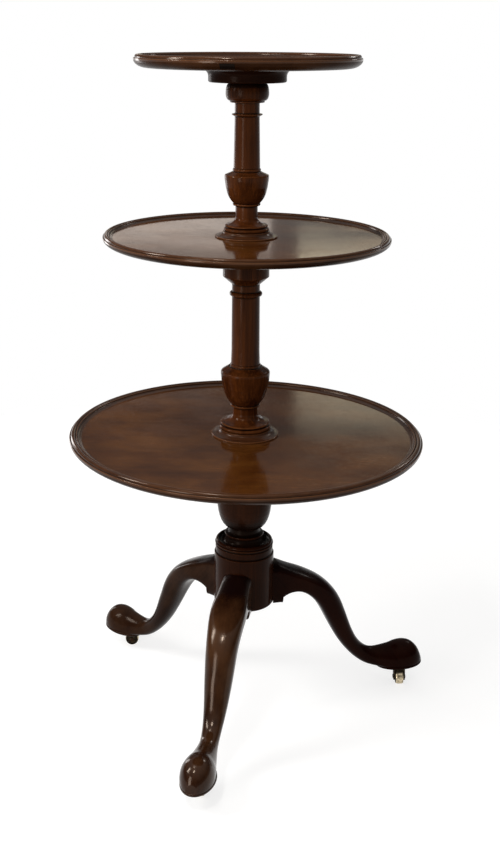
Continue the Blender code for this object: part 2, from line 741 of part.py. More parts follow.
def leg_blank(name):
    """The carved leg without its joint: a skin through all its sections."""
    shape = bmesh.new()
    rings = [leg_section(shape, row) for row in LEG_SHARES]
    for ring, following in zip(rings, rings[1:]):
        for step in range(LEG_SECTION_POINTS):
            after = (step + 1) % LEG_SECTION_POINTS
            shape.faces.new((ring[step], ring[after], following[after], following[step]))
    shape.faces.new(reversed(rings[0]))
    shape.faces.new(rings[-1])
    bmesh.ops.recalc_face_normals(shape, faces=shape.faces)
    return put_in_scene(name, shape)


def castor_screw_places():
    """Places of a castor plate's screws, in the leg's own frame."""
    return [
        (PAD_CENTRE + x, y) for x, y in round_places(PLATE_SCREW_CIRCLE, PLATE_SCREW_COUNT)
    ]


def build_leg(side, azimuth):
    """A cabriole leg: skin, oval base of the pad, dovetail, and the castor's holes."""
    leg = leg_blank(f"{side}_leg")
    drum = turned(
        "drum", [
            (0, DRUM_BASE_HEIGHT - DRUM_RADIUS),
            (DRUM_RADIUS + GAP, DRUM_BASE_HEIGHT - DRUM_RADIUS),
            (DRUM_RADIUS + GAP, BASE_HEAD),
            (0, BASE_HEAD),
        ], POST_STEPS,
    )
    drum.data.transform(Matrix.Rotation(-azimuth, 4, "Z"))
    carve(leg, drum)
    oval = arc((PAD_CENTRE, 0), (PAD_HALF_LENGTH, PAD_HALF_WIDTH), 0, math.tau, PAD_STEPS)
    carve(leg, prism("pad", oval[:-1], PAD_BASE, PAD_BASE + PAD_THICKNESS), "UNION")
    tail = dovetail(
        "tail", 0, DRUM_BASE_HEIGHT, DRUM_BASE_HEIGHT + DOVETAIL_HEIGHT,
        DRUM_RADIUS + DOVETAIL_KEY,
    )
    carve(leg, tail, "UNION")
    carve(leg, screw_hole(
        BRACE_SCREW_HEAD_RADIUS, BRACE_SCREW_RADIUS, BRACE_SCREW_LENGTH,
        (BRACE_SCREW_CIRCLE, 0, BRACE_BASE),
    ))
    well_top = PAD_BASE + GAP + PIVOT_HEAD_THICKNESS + PIVOT_WELL_ROOM
    well = turned(
        "well", [
            (0, PAD_BASE - OVERRUN),
            (PIVOT_WELL_RADIUS, PAD_BASE - OVERRUN),
            (PIVOT_WELL_RADIUS, well_top),
            (0, well_top),
        ], HOLE_STEPS, (PAD_CENTRE, 0),
    )
    carve(leg, well)
    for x, y in castor_screw_places():
        carve(leg, screw_hole(
            PLATE_SCREW_HEAD_RADIUS, PLATE_SCREW_RADIUS, PLATE_SCREW_LENGTH,
            (x, y, CASTOR_PLATE_BASE),
        ))
    finish_piece(leg, MAHOGANY)
    leg.rotation_euler = (0, 0, azimuth)
    return leg


def build_brace():
    """The iron plate: a hub with an arm to each leg's dovetail, and its screws."""
    disc = arc((0, 0), (BRACE_HUB_RADIUS, BRACE_HUB_RADIUS), 0, math.tau, POST_STEPS)
    brace = prism("leg_brace", disc[:-1], BRACE_BASE, BRACE_TOP)
    half = BRACE_ARM_HALF_WIDTH
    places = {"centre": (0, 0)}
    for side, azimuth in LEG_AZIMUTHS.items():
        tip = arc((BRACE_ARM_REACH - half, 0), (half, half), -math.pi / 2, math.pi / 2, HOLE_STEPS)
        arm = prism("arm", [(0, -half)] + tip + [(0, half)], BRACE_BASE, BRACE_TOP)
        arm.data.transform(Matrix.Rotation(azimuth, 4, "Z"))
        carve(brace, arm, "UNION")
        places[side] = (
            BRACE_SCREW_CIRCLE * math.cos(azimuth), BRACE_SCREW_CIRCLE * math.sin(azimuth),
        )
    for side, (x, y) in places.items():
        carve(brace, screw_hole(
            BRACE_SCREW_HEAD_RADIUS, BRACE_SCREW_RADIUS, BRACE_SCREW_LENGTH, (x, y, BRACE_BASE),
        ))
        one = screw(
            f"brace_screw_{side}", BRACE_SCREW_HEAD_RADIUS, BRACE_SCREW_RADIUS,
            BRACE_SCREW_LENGTH,
        )
        slotted(one, BRACE_SCREW_HEAD_RADIUS, BRACE_SCREW_RADIUS)
        one.data.transform(Matrix.Translation((x, y, BRACE_BASE)))
        finish_piece(one, STEEL, (x, y, BRACE_BASE))
    return finish_piece(brace, BLACK_IRON, (0, 0, BRACE_BASE))


def build_castor_plate(name):
    """The plate under a foot, with the pivot's hole and three countersunk ones."""
    hole = PIVOT_RADIUS + GAP
    plate = turned(
        name, [
            (hole, CASTOR_PLATE_BASE),
            (CASTOR_PLATE_RADIUS, CASTOR_PLATE_BASE),
            (CASTOR_PLATE_RADIUS, CASTOR_PLATE_TOP),
            (hole, CASTOR_PLATE_TOP),
        ], POST_STEPS,
    )
    for x, y in round_places(PLATE_SCREW_CIRCLE, PLATE_SCREW_COUNT):
        carve(plate, screw_hole(
            PLATE_SCREW_HEAD_RADIUS, PLATE_SCREW_RADIUS, PLATE_SCREW_LENGTH,
            (x, y, CASTOR_PLATE_BASE),
        ))
    return plate


def build_castor_horn(name):
    """The fork: a bridge under the plate, two cheeks down to the axle, and the pivot."""
    room = WHEEL_WIDTH / 2 + CHEEK_ROOM
    half = room + CHEEK_THICKNESS
    end = arc(
        (CASTOR_TRAIL, WHEEL_RADIUS), (CHEEK_END_RADIUS, CHEEK_END_RADIUS), -math.pi, 0,
        ARC_STEPS + ARC_STEPS,
    )
    outline = [(-HORN_TAIL, HORN_TOP), (-HORN_TAIL, HORN_UNDERSIDE)]
    outline.append((end[0][0], HORN_UNDERSIDE))
    outline += end + [(end[-1][0], HORN_TOP)]
    horn = prism(name, outline, -half, half, "Y")
    clear = CASTOR_TRAIL + WHEEL_RADIUS + OVERRUN
    space = [
        (-HORN_TAIL - OVERRUN, -OVERRUN), (clear, -OVERRUN),
        (clear, HORN_UNDERSIDE), (-HORN_TAIL - OVERRUN, HORN_UNDERSIDE),
    ]
    carve(horn, prism("space", space, -room, room, "Y"))
    axle_hole = turned(
        "axle_hole", [
            (0, -half - OVERRUN),
            (AXLE_RADIUS + GAP, -half - OVERRUN),
            (AXLE_RADIUS + GAP, half + OVERRUN),
            (0, half + OVERRUN),
        ], HOLE_STEPS,
    )
    axle_hole.data.transform(across_fork())
    carve(horn, axle_hole)
    head_base = PAD_BASE
    head_top = head_base + PIVOT_HEAD_THICKNESS
    pivot = turned(
        "pivot", [
            (0, HORN_UNDERSIDE + HORN_THICKNESS / 2),
            (PIVOT_RADIUS, HORN_UNDERSIDE + HORN_THICKNESS / 2),
            (PIVOT_RADIUS, head_base),
            (PIVOT_HEAD_RADIUS, head_base),
            (PIVOT_HEAD_RADIUS, head_top),
            (0, head_top),
        ], HOLE_STEPS,
    )
    carve(horn, pivot, "UNION")
    return horn


def across_fork():
    """Lay a piece turned about Z across the fork, on the wheel's axle."""
    return Matrix.Translation((CASTOR_TRAIL, 0, WHEEL_RADIUS)) @ Matrix.Rotation(
        math.pi / 2, 4, "X",
    )


def build_castor_axle(name):
    """The rivet that the wheel runs on, with a head outside each cheek."""
    seat = WHEEL_WIDTH / 2 + CHEEK_ROOM + CHEEK_THICKNESS + GAP
    end = seat + AXLE_HEAD_THICKNESS
    axle = turned(
        name, [
            (0, -end), (AXLE_HEAD_RADIUS, -end), (AXLE_HEAD_RADIUS, -seat),
            (AXLE_RADIUS, -seat), (AXLE_RADIUS, seat),
            (AXLE_HEAD_RADIUS, seat), (AXLE_HEAD_RADIUS, end), (0, end),
        ], HOLE_STEPS,
    )
    axle.data.transform(across_fork())
    return axle


def build_castor_wheel(name):
    """The brass roller: flat sides, a crowned tread and a plain bore."""
    half = WHEEL_WIDTH / 2
    bore = AXLE_RADIUS + GAP
    tread = half - WHEEL_CROWN - WHEEL_CROWN
    wheel = turned(
        name, [
            (bore, -half), (WHEEL_RADIUS - WHEEL_CROWN, -half), (WHEEL_RADIUS, -tread),
            (WHEEL_RADIUS, tread), (WHEEL_RADIUS - WHEEL_CROWN, half), (bore, half),
        ], WHEEL_STEPS,
    )
    wheel.data.transform(across_fork())
    return wheel


def build_castor(side, azimuth, heading):
    """A castor under one foot: plate and screws fixed, fork on the pivot, wheel."""
    pivot = bpy.data.objects.new(f"{side}_castor_pivot", None)
    pivot.location = (PAD_CENTRE * math.cos(azimuth), PAD_CENTRE * math.sin(azimuth), 0)
    pivot.rotation_euler = (0, 0, heading)
    pivot.parent = standing_centre
    bpy.context.scene.collection.objects.link(pivot)
    seat = bpy.data.objects.new(f"{side}_castor_seat", None)
    seat.location = pivot.location
    seat.rotation_euler = (0, 0, azimuth)
    seat.parent = standing_centre
    bpy.context.scene.collection.objects.link(seat)
    hub = (CASTOR_TRAIL, 0, WHEEL_RADIUS)
    finish_piece(
        build_castor_plate(f"{side}_castor_plate"), OLD_BRASS,
        (0, 0, CASTOR_PLATE_BASE), seat,
    )
    finish_piece(build_castor_horn(f"{side}_castor_horn"), OLD_BRASS, (0, 0, HORN_TOP), pivot)
    finish_piece(build_castor_axle(f"{side}_castor_axle"), STEEL, hub, pivot)
    finish_piece(build_castor_wheel(f"{side}_castor_wheel"), OLD_BRASS, hub, pivot)
    places = round_places(PLATE_SCREW_CIRCLE, PLATE_SCREW_COUNT)
    for number, (x, y) in enumerate(places, start=1):
        one = screw(
            f"{side}_plate_screw_{number}", PLATE_SCREW_HEAD_RADIUS, PLATE_SCREW_RADIUS,
            PLATE_SCREW_LENGTH,
        )
        one.data.transform(Matrix.Translation((x, y, CASTOR_PLATE_BASE)))
        finish_piece(one, STEEL, (x, y, CASTOR_PLATE_BASE), seat)


build_base_column()
build_middle_post()
build_upper_post()
build_tiers()
build_brace()
for leg_side, leg_azimuth in LEG_AZIMUTHS.items():
    build_leg(leg_side, leg_azimuth)
    build_castor(leg_side, leg_azimuth, CASTOR_HEADINGS[leg_side])
bpy.context.view_layer.update()
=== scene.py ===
import math

import bmesh
import bpy
from mathutils import Matrix, Vector
from mathutils.kdtree import KDTree


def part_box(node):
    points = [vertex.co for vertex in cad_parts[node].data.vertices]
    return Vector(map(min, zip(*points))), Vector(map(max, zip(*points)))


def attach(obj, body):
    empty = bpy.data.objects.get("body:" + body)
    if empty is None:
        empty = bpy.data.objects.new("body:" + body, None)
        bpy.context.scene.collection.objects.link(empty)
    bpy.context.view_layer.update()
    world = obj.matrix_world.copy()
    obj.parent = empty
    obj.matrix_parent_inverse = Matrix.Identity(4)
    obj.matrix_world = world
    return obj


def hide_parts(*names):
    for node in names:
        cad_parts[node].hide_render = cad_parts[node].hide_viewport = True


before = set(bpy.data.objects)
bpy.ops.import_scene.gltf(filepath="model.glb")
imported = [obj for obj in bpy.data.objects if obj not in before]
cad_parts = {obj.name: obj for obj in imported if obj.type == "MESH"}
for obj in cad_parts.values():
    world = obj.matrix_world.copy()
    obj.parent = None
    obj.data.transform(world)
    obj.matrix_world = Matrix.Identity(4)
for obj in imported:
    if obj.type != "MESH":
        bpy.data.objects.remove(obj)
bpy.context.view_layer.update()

# The studio: a pale floor in a white room, with soft lamps, and panels and cards for the
# polish to mirror.  The upper room is darker in the polish, as a real one is.  The camera
# stands a little above the top tray, two metres in front of the pillar.
CAMERA_PLACE = (0.472935, -1.991731, 1.169930)
CAMERA_TURN = (85.89014, -0.23694, 15.86941)
CAMERA_LENS = 52.16175
CAMERA_SHIFT = (0.068926, -0.364605)
FLOOR_RADIUS = 1.7
FLOOR_COLOUR = (0.38, 0.38, 0.38)
FLOOR_GLOW = 0.73
ROOM_COLOUR = (1.0, 0.99, 0.97)
ROOM_LIGHT = 0.48
BACKGROUND = (1.0, 1.0, 1.0)
ROOM_WALL = (
    (0.00, (1.0, 1.0, 1.0)),
    (0.07, (1.0, 1.0, 1.0)),
    (0.11, (0.30, 0.29, 0.28)),
    (0.24, (0.034, 0.030, 0.026)),
    (1.00, (0.034, 0.030, 0.026)),
)
LAMPS = (
    ("key_lamp", (-0.35, -1.90, 2.70), 0.60, (0.30, 0.34), 20.0, (1.0, 0.97, 0.93)),
    ("side_lamp", (-2.25, -1.05, 2.05), 0.65, (0.50, 1.10), 42.0, (1.0, 0.98, 0.95)),
    ("rear_panel", (-2.35, 1.85, 0.75), 0.60, (0.50, 1.30), 11.0, (1.0, 0.97, 0.96)),
    ("far_lamp", (1.30, 2.30, 2.00), 0.40, (0.40, 0.40), 5.0, (1.0, 0.98, 0.95)),
    ("top_lamp", (-0.55, -0.80, 2.90), 0.50, (0.50, 0.50), 9.0, (1.0, 0.98, 0.97)),
    ("front_panel", (-1.25, -2.65, 0.78), 0.80, (0.70, 1.50), 26.0, (1.0, 0.94, 0.91)),
    ("back_card", (-1.60, 4.60, 1.56), 0.80, (1.30, 0.34), 1.3, (1.0, 0.88, 0.78)),
    ("olive_card", (-0.86, 8.00, 2.66), 0.47, (1.14, 0.80), 3.0, (1.0, 0.92, 0.68)),
)

bpy.context.scene.view_settings.view_transform = "Standard"
bpy.ops.object.select_all(action="DESELECT")
bpy.ops.object.camera_add(
    location=CAMERA_PLACE, rotation=[math.radians(angle) for angle in CAMERA_TURN],
)
camera = bpy.context.object
camera.name = "camera"
camera.data.sensor_width = 36.0
camera.data.lens = CAMERA_LENS
camera.data.shift_x, camera.data.shift_y = CAMERA_SHIFT
bpy.context.scene.camera = camera

for lamp_name, place, aim_height, size, power, tint in LAMPS:
    aim = Vector((0.0, 0.0, aim_height))
    turn_to = (aim - Vector(place)).to_track_quat("-Z", "Y").to_euler()
    bpy.ops.object.light_add(type="AREA", location=place, rotation=turn_to)
    lamp = bpy.context.object
    lamp.name = lamp_name
    lamp.data.shape = "RECTANGLE"
    lamp.data.size, lamp.data.size_y = size
    lamp.data.energy = power
    lamp.data.color = tint
    lamp.visible_camera = False


def feed(tree, node, inputs):
    """Set or join a node's inputs, by name or number.  Colours are three numbers."""
    for label, value in dict(inputs).items():
        socket = node.inputs[label]
        if isinstance(value, bpy.types.NodeSocket):
            tree.links.new(value, socket)
        else:
            socket.default_value = (*value, 1.0) if socket.type == "RGBA" else value


def add_node(tree, kind, inputs=(), **settings):
    """Add a node, set it, and set or join its inputs."""
    made = tree.nodes.new(kind)
    for setting, value in settings.items():
        setattr(made, setting, value)
    feed(tree, made, inputs)
    return made


def seen_directly(tree):
    """One where the ray comes straight from the camera, off metal or through glass."""
    path = add_node(tree, "ShaderNodeLightPath")
    shine = add_node(tree, "ShaderNodeMath", {
        0: path.outputs["Is Camera Ray"], 1: path.outputs["Is Glossy Ray"],
    }, operation="MAXIMUM")
    return add_node(tree, "ShaderNodeMath", {
        0: shine.outputs[0], 1: path.outputs["Is Transmission Ray"],
    }, operation="MAXIMUM").outputs[0]


room = bpy.data.worlds.new("pale_room")
bpy.context.scene.world = room
room.use_nodes = True
room_tree = room.node_tree
room_tree.nodes.clear()
room_light = add_node(room_tree, "ShaderNodeBackground", {
    "Color": ROOM_COLOUR, "Strength": ROOM_LIGHT,
})
room_way = add_node(room_tree, "ShaderNodeTexCoord")
room_height = add_node(room_tree, "ShaderNodeSeparateXYZ", {0: room_way.outputs["Generated"]})
room_shade = add_node(room_tree, "ShaderNodeValToRGB", {"Fac": room_height.outputs["Z"]})
for share, colour in ROOM_WALL:
    if share in (0.0, 1.0):
        stop = room_shade.color_ramp.elements[int(share)]
    else:
        stop = room_shade.color_ramp.elements.new(share)
    stop.color = (*colour, 1.0)
room_wall = add_node(room_tree, "ShaderNodeBackground", {"Color": room_shade.outputs["Color"]})
room_mix = add_node(room_tree, "ShaderNodeMixShader", {
    0: seen_directly(room_tree), 1: room_light.outputs[0], 2: room_wall.outputs[0],
})
plain_wall = add_node(room_tree, "ShaderNodeBackground", {"Color": BACKGROUND})
room_seen = add_node(room_tree, "ShaderNodeMixShader", {
    0: add_node(room_tree, "ShaderNodeLightPath").outputs["Is Camera Ray"],
    1: room_mix.outputs[0], 2: plain_wall.outputs[0],
})
add_node(room_tree, "ShaderNodeOutputWorld", {"Surface": room_seen.outputs[0]})

bpy.ops.object.select_all(action="DESELECT")
bpy.ops.mesh.primitive_circle_add(vertices=96, radius=FLOOR_RADIUS, fill_type="NGON")
floor = bpy.context.object
floor.name = "floor"
floor_finish = bpy.data.materials.new("pale_floor")
floor_finish.use_nodes = True
floor_tree = floor_finish.node_tree
floor_tree.nodes.clear()
floor_coat = add_node(floor_tree, "ShaderNodeBsdfDiffuse", {"Color": FLOOR_COLOUR})
floor_share = add_node(floor_tree, "ShaderNodeMath", {
    0: seen_directly(floor_tree), 1: FLOOR_GLOW,
}, operation="MULTIPLY")
floor_glow = add_node(floor_tree, "ShaderNodeEmission", {
    "Color": BACKGROUND, "Strength": floor_share.outputs[0],
})
floor_mix = add_node(floor_tree, "ShaderNodeAddShader", {
    0: floor_coat.outputs[0], 1: floor_glow.outputs[0],
})
add_node(floor_tree, "ShaderNodeOutputMaterial", {"Surface": floor_mix.outputs[0]})
floor.data.materials.append(floor_finish)

# Base pillar: one length of dark mahogany turned on the lathe into a drum, a neck and
# an urn, with a tenon hole in its head.  It was stained, french polished and waxed, so
# its arrises are rubbed and old wax lies dark in its quirks; the quirks are darkened
# further with painted shade, and painted shade lies on the drum's top and the neck
# under the lower tray.
pillar_low, pillar_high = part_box("base_column")
AXIS_X = (pillar_low.x + pillar_high.x) / 2
AXIS_Y = (pillar_low.y + pillar_high.y) / 2
DRUM_RADIUS = 0.051
SOCKET_RADIUS = 0.0133
SOCKET_DEPTH = 0.041
CLEARANCE = 0.0003
TURNED_STEPS = 128
ARRIS = 0.0005
ARRIS_STEPS = 3
MOULDING_STEPS = 8
SLIGHT_TURN = 0.20
SIDE_SHARE = 0.45
QUIRK_REACH = 0.003
QUIRK_RINGS = (0.2, 0.5, 1.0)
MERGE_DISTANCE = 0.000002
FLAT_FACE_WEIGHT = 80
# Painted shade on the drum's top and the neck under the lower tray: shares added to the hollow
# mark, by height.
PILLAR_PAINTED_SHADE = ((0.150, 0.08), (0.285, 0.10), (0.300, 0.34), (0.322, 0.34), (0.345, 0.0))
PILLAR_MOULDINGS = (
    (0, 975), (6, 1000), (309, 1000), (314, 945), (319, 945), (321, 966), (352, 966),
    (355, 937), (360, 937), (363, 952), (374, 952, "bead"), (376, 938), (378, 956),
    (393, 885, "turn"), (391, 858), (372, 765, "turn"), (413, 605, "sweep"), (419, 645),
    (424, 655), (430, 645), (446, 515, "sweep"), (462, 500), (466, 488), (470, 512),
    (633, 916, "sweep"), (669, 904), (687, 875), (712, 627), (730, 627), (735, 561),
    (834, 525), (866, 525, "bead"), (902, 525), (906, 553), (951, 853), (1000, 853),
)


def draw_mouldings(table, foot, length, widest):
    """Follow a table of mouldings up a turned length, in thousandths of length and radius.

    A row runs straight to its point, or swells out on the way (bead), leaves sideways and
    arrives upright (sweep), or leaves upright and arrives sideways (turn).
    """
    outline = []
    for up_parts, out_parts, *kind in table:
        height = foot + up_parts / 1000 * length
        radius = out_parts / 1000 * widest
        if kind:
            last_radius, last_height = outline[-1]
            for step in range(1, MOULDING_STEPS):
                angle = math.pi / 2 * step / MOULDING_STEPS
                across, up = math.sin(angle), 1 - math.cos(angle)
                swell = 0.0
                if "turn" in kind:
                    across, up = up, across
                if "bead" in kind:
                    across = (1 - math.cos(2 * angle)) / 2
                    up = across
                    swell = math.sin(2 * angle) * (height - last_height) / 2
                outline.append((
                    last_radius + (radius - last_radius) * across + swell,
                    last_height + (height - last_height) * up,
                ))
        outline.append((radius, height))
    return outline


def ease_corners(outline, ease):
    """Round every corner of a turned outline, as sandpaper leaves it."""
    eased = [outline[0]]
    for before, corner, after in zip(outline, outline[1:], outline[2:]):
        corner = Vector(corner)
        back = Vector(before) - corner
        on = Vector(after) - corner
        if min(back.length, on.length) < 1e-7 or math.pi - back.angle(on) < SLIGHT_TURN:
            eased.append(tuple(corner))
            continue
        first = corner + back.normalized() * min(ease, back.length * SIDE_SHARE)
        last = corner + on.normalized() * min(ease, on.length * SIDE_SHARE)
        for step in range(ARRIS_STEPS + 1):
            share = step / ARRIS_STEPS
            eased.append(tuple(
                first.lerp(corner, share).lerp(corner.lerp(last, share), share)
            ))
    return eased + [outline[-1]]


def add_rings(outline):
    """Add points near both ends of each long step of an outline, where old wax and
    rubbing at a corner fade out."""
    ringed = [Vector(outline[0])]
    for before, after in zip(outline, outline[1:]):
        before, after = Vector(before), Vector(after)
        length = max((after - before).length, 1e-6)
        shares = [share * QUIRK_REACH / length for share in QUIRK_RINGS]
        shares = [share for share in shares if share < SIDE_SHARE]
        for share in shares + [1 - share for share in reversed(shares)]:
            ringed.append(before.lerp(after, share))
        ringed.append(after)
    return [tuple(point) for point in ringed]


def turn_piece(name, outline, steps=TURNED_STEPS, centre=(AXIS_X, AXIS_Y)):
    """Draw an outline of (radius, height) points by extruding, and spin it about an axis.

    An outline that starts off the axis is a ring, and is closed before it is spun.
    """
    bpy.ops.object.select_all(action="DESELECT")
    start = (centre[0] + outline[0][0], centre[1], outline[0][1])
    bpy.ops.mesh.primitive_plane_add(size=0.01, location=start)
    piece = bpy.context.object
    piece.name = name
    bpy.ops.object.mode_set(mode="EDIT")
    bpy.ops.mesh.select_all(action="SELECT")
    bpy.ops.mesh.merge(type="CENTER")
    for here, following in zip(outline, outline[1:]):
        bpy.ops.mesh.extrude_vertices_move(TRANSFORM_OT_translate={
            "value": (following[0] - here[0], 0, following[1] - here[1]),
        })
    if outline[0][0] > 0:
        drawn = bmesh.from_edit_mesh(piece.data)
        ends = [vert for vert in drawn.verts if len(vert.link_edges) == 1]
        for vert in drawn.verts:
            vert.select_set(vert in ends)
        drawn.select_flush_mode()
        bmesh.update_edit_mesh(piece.data)
        bpy.ops.mesh.edge_face_add()
    bpy.ops.mesh.select_all(action="SELECT")
    bpy.ops.mesh.spin(
        steps=steps, angle=math.tau, center=(*centre, 0.0), axis=(0, 0, 1),
        use_auto_merge=True,
    )
    bpy.ops.mesh.select_all(action="SELECT")
    bpy.ops.mesh.remove_doubles(threshold=MERGE_DISTANCE)
    bpy.ops.mesh.normals_make_consistent(inside=False)
    bpy.ops.object.mode_set(mode="OBJECT")
    bpy.ops.object.transform_apply()
    return piece


def pick(piece):
    """Select one piece alone and make it the active one."""
    bpy.ops.object.select_all(action="DESELECT")
    piece.select_set(True)
    bpy.context.view_layer.objects.active = piece


def work_piece(piece, kind, **settings):
    """Put a modifier on a piece, set it and apply it."""
    pick(piece)
    work = piece.modifiers.new("work", kind)
    for setting, value in settings.items():
        setattr(work, setting, value)
    bpy.ops.object.modifier_apply(modifier=work.name)


def smooth_piece(piece, angle=38.0):
    """Shade a piece smooth, but for the corners sharper than an angle, and keep its broad
    faces flat up to their edges."""
    pick(piece)
    bpy.ops.object.shade_smooth_by_angle(angle=math.radians(angle))
    work_piece(piece, "WEIGHTED_NORMAL", keep_sharp=True, weight=FLAT_FACE_WEIGHT)


def mark_quirks(piece, outline, painted_shade=()):
    """Keep on each point how hollow the turned outline is within a few millimetres: a
    quirk is above nought, an arris is below.  Shares listed by height are added to it
    as painted shade, where a tray or the block above shades the piece."""
    points = [Vector((*point, 0.0)) for point in outline]
    spots = KDTree(len(points))
    depths = []
    for index, point in enumerate(points):
        spots.insert(point, index)
        run = points[min(index + 1, len(points) - 1)] - points[max(index - 1, 0)]
        out = Vector((run.y, -run.x, 0.0)).normalized()
        pull, total = 0.0, 1e-9
        for first, second in zip(points, points[1:]):
            gap = (first + second) / 2 - point
            if 1e-6 < gap.length < QUIRK_REACH:
                share = (second - first).length * (1 - gap.length / QUIRK_REACH)
                pull += share * gap.normalized().dot(out)
                total += share
        depths.append(pull / total)
    spots.balance()
    mark = piece.data.attributes.new("hollow", "FLOAT", "POINT")
    for vert, value in zip(piece.data.vertices, mark.data):
        away = math.hypot(vert.co.x - AXIS_X, vert.co.y - AXIS_Y)
        value.value = depths[spots.find((away, vert.co.z, 0.0))[1]]
        # Painted shade, listed by height, is added to the hollow mark.
        for (foot, first), (head, second) in zip(painted_shade, painted_shade[1:]):
            if foot < vert.co.z <= head:
                value.value += first + (second - first) * (vert.co.z - foot) / (head - foot)


def finish_turning(name, outline, steps=TURNED_STEPS, painted_shade=()):
    """Turn a piece, smooth it and mark its quirks and its painted shade."""
    piece = turn_piece(name, outline, steps)
    smooth_piece(piece)
    mark_quirks(piece, outline, painted_shade)
    return piece


def start_group(name, colours, values, results):
    """Make a node group that takes a place, some colours and some values, and gives a
    colour and some values.  Returns it and the sockets of what it is given."""
    group = bpy.data.node_groups.new(name, "ShaderNodeTree")
    for way, labels, kind in (
        ("INPUT", ("Place",), "NodeSocketVector"), ("INPUT", colours, "NodeSocketColor"),
        ("INPUT", values, "NodeSocketFloat"), ("OUTPUT", ("Colour",), "NodeSocketColor"),
        ("OUTPUT", results, "NodeSocketFloat"),
    ):
        for label in labels:
            group.interface.new_socket(name=label, in_out=way, socket_type=kind)
    return group, add_node(group, "NodeGroupInput").outputs


def mix_colours(tree, share, first, second, blend="MIX"):
    """Lay one colour over another by a share."""
    made = add_node(tree, "ShaderNodeMix", {0: share, 6: first, 7: second},
                    data_type="RGBA", blend_type=blend, clamp_result=True)
    return made.outputs[2]


def tone_colour(tree, colour, noise, dark, light):
    """A colour darkened and lightened by a noise."""
    tone = add_node(tree, "ShaderNodeMapRange", {
        "Value": noise, "From Min": 0.3, "From Max": 0.7, "To Min": dark, "To Max": light,
    }).outputs[0]
    return mix_colours(tree, 1.0, colour, tone, "MULTIPLY")


def grain_noise(tree, place, stretch, detail, rough, twist=0.0):
    """Noise, fine across the grain and drawn out along it, the first coordinate."""
    drawn = add_node(tree, "ShaderNodeMapping", {"Vector": place, "Scale": stretch})
    return add_node(tree, "ShaderNodeTexNoise", {
        "Vector": drawn.outputs[0], "Scale": 1.0, "Detail": detail,
        "Roughness": rough, "Distortion": twist,
    }).outputs["Fac"]


def nearest_spot(tree, place, scale):
    """The distance to the nearest of some scattered points."""
    return add_node(tree, "ShaderNodeTexVoronoi", {
        "Vector": place, "Scale": scale,
    }).outputs["Distance"]


def spread(tree, value, low, high, full=1.0):
    """Take a value from a low to a high mark on to nought to full, softly."""
    return add_node(tree, "ShaderNodeMapRange", {
        "Value": value, "From Min": low, "From Max": high, "To Max": full,
    }, interpolation_type="SMOOTHSTEP").outputs[0]


def weighed(tree, *parts):
    """The sum of some values, each times its factor."""
    total = None
    for value, factor in parts:
        if factor != 1:
            value = add_node(tree, "ShaderNodeMath", {0: value, 1: factor},
                             operation="MULTIPLY").outputs[0]
        total = value if total is None else add_node(
            tree, "ShaderNodeMath", {0: total, 1: value}, operation="ADD",
        ).outputs[0]
    return total


FIGURE_COLOURS = ("ground", "ribbon", "streak")
POLISH_COLOURS = ("rubbed", "wax")
POLISH_VALUES = ("wax_and_shade_depth", "rubbing", "wear", "knocks", "gloss")


def make_figure_group():
    """Mahogany: broad ribbons of colour, fine streaks, and open pores as short dashes."""
    group, given = start_group("mahogany_figure", FIGURE_COLOURS, (), ("Height",))
    place = given["Place"]
    ribbons = grain_noise(group, place, (2.6, 42, 42), 3.0, 0.55, 0.9)
    streaks = grain_noise(group, place, (5.0, 230, 230), 4.0, 0.60, 0.3)
    threads = grain_noise(group, place, (14.0, 900, 900), 2.0, 0.6)
    pores = spread(group, grain_noise(group, place, (130, 2100, 2100), 1.0, 0.5), 0.62, 0.72)
    ribbons = spread(group, ribbons, 0.40, 0.66, 0.75)
    streaks = spread(group, streaks, 0.44, 0.72, 0.55)
    colour = mix_colours(group, ribbons, given["ground"], given["ribbon"])
    colour = mix_colours(group, streaks, colour, given["streak"])
    colour = tone_colour(group, colour, threads, 0.80, 1.15)
    colour = mix_colours(group, weighed(group, (pores, 0.55)), colour, (0.010, 0.004, 0.003))
    height = weighed(group, (threads, 0.35), (pores, -0.8))
    add_node(group, "NodeGroupOutput", {"Colour": colour, "Height": height})
    return group


def make_polish_group():
    """Old french polish and wax: rubbed thin on arrises, dark in quirks with wax and painted
    shade, darker where painted shade is marked, with faint smears and small knocks."""
    group, given = start_group(
        "old_polish", ("wood",) + POLISH_COLOURS, ("hollow",) + POLISH_VALUES,
        ("Roughness", "Height"),
    )
    place = given["Place"]
    smear = grain_noise(group, place, (9.0, 9.0, 9.0), 5.0, 0.6)
    speck = grain_noise(group, place, (70.0, 70.0, 70.0), 4.0, 0.65)
    patches = grain_noise(group, place, (9.0, 13.0, 13.0), 5.0, 0.6)
    knocks = spread(group, nearest_spot(group, place, 46.0), 0.10, 0.02, given["knocks"])
    # The hollow mark brings old wax in the quirks and painted shade; the wax colour is laid on
    # for both.
    wax_and_painted_shade = weighed(group, (given["hollow"], 1), (speck, 0.10))
    wax = spread(group, wax_and_painted_shade, 0.10, 0.36, given["wax_and_shade_depth"])
    arris = weighed(group, (given["hollow"], -1.0), (speck, 0.14))
    rubbed = spread(group, arris, 0.12, 0.42, given["rubbing"])
    worn = spread(group, patches, 0.36, 0.74, given["wear"])
    colour = tone_colour(group, given["wood"], smear, 0.84, 1.14)
    colour = mix_colours(group, worn, colour, given["rubbed"])
    colour = mix_colours(group, rubbed, colour, given["rubbed"])
    colour = mix_colours(group, wax, colour, given["wax"])
    colour = mix_colours(group, weighed(group, (knocks, 0.12)), colour, given["wax"])
    smears, specks = spread(group, smear, 0.35, 0.70), spread(group, speck, 0.45, 0.75)
    rough = weighed(
        group, (given["gloss"], 1), (smears, 0.06), (specks, 0.03), (wax, 0.22),
        (rubbed, -0.03),
    )
    height = weighed(group, (smear, 0.5), (speck, 0.08), (knocks, -0.12))
    add_node(group, "NodeGroupOutput", {
        "Colour": colour, "Roughness": rough, "Height": height,
    })
    return group


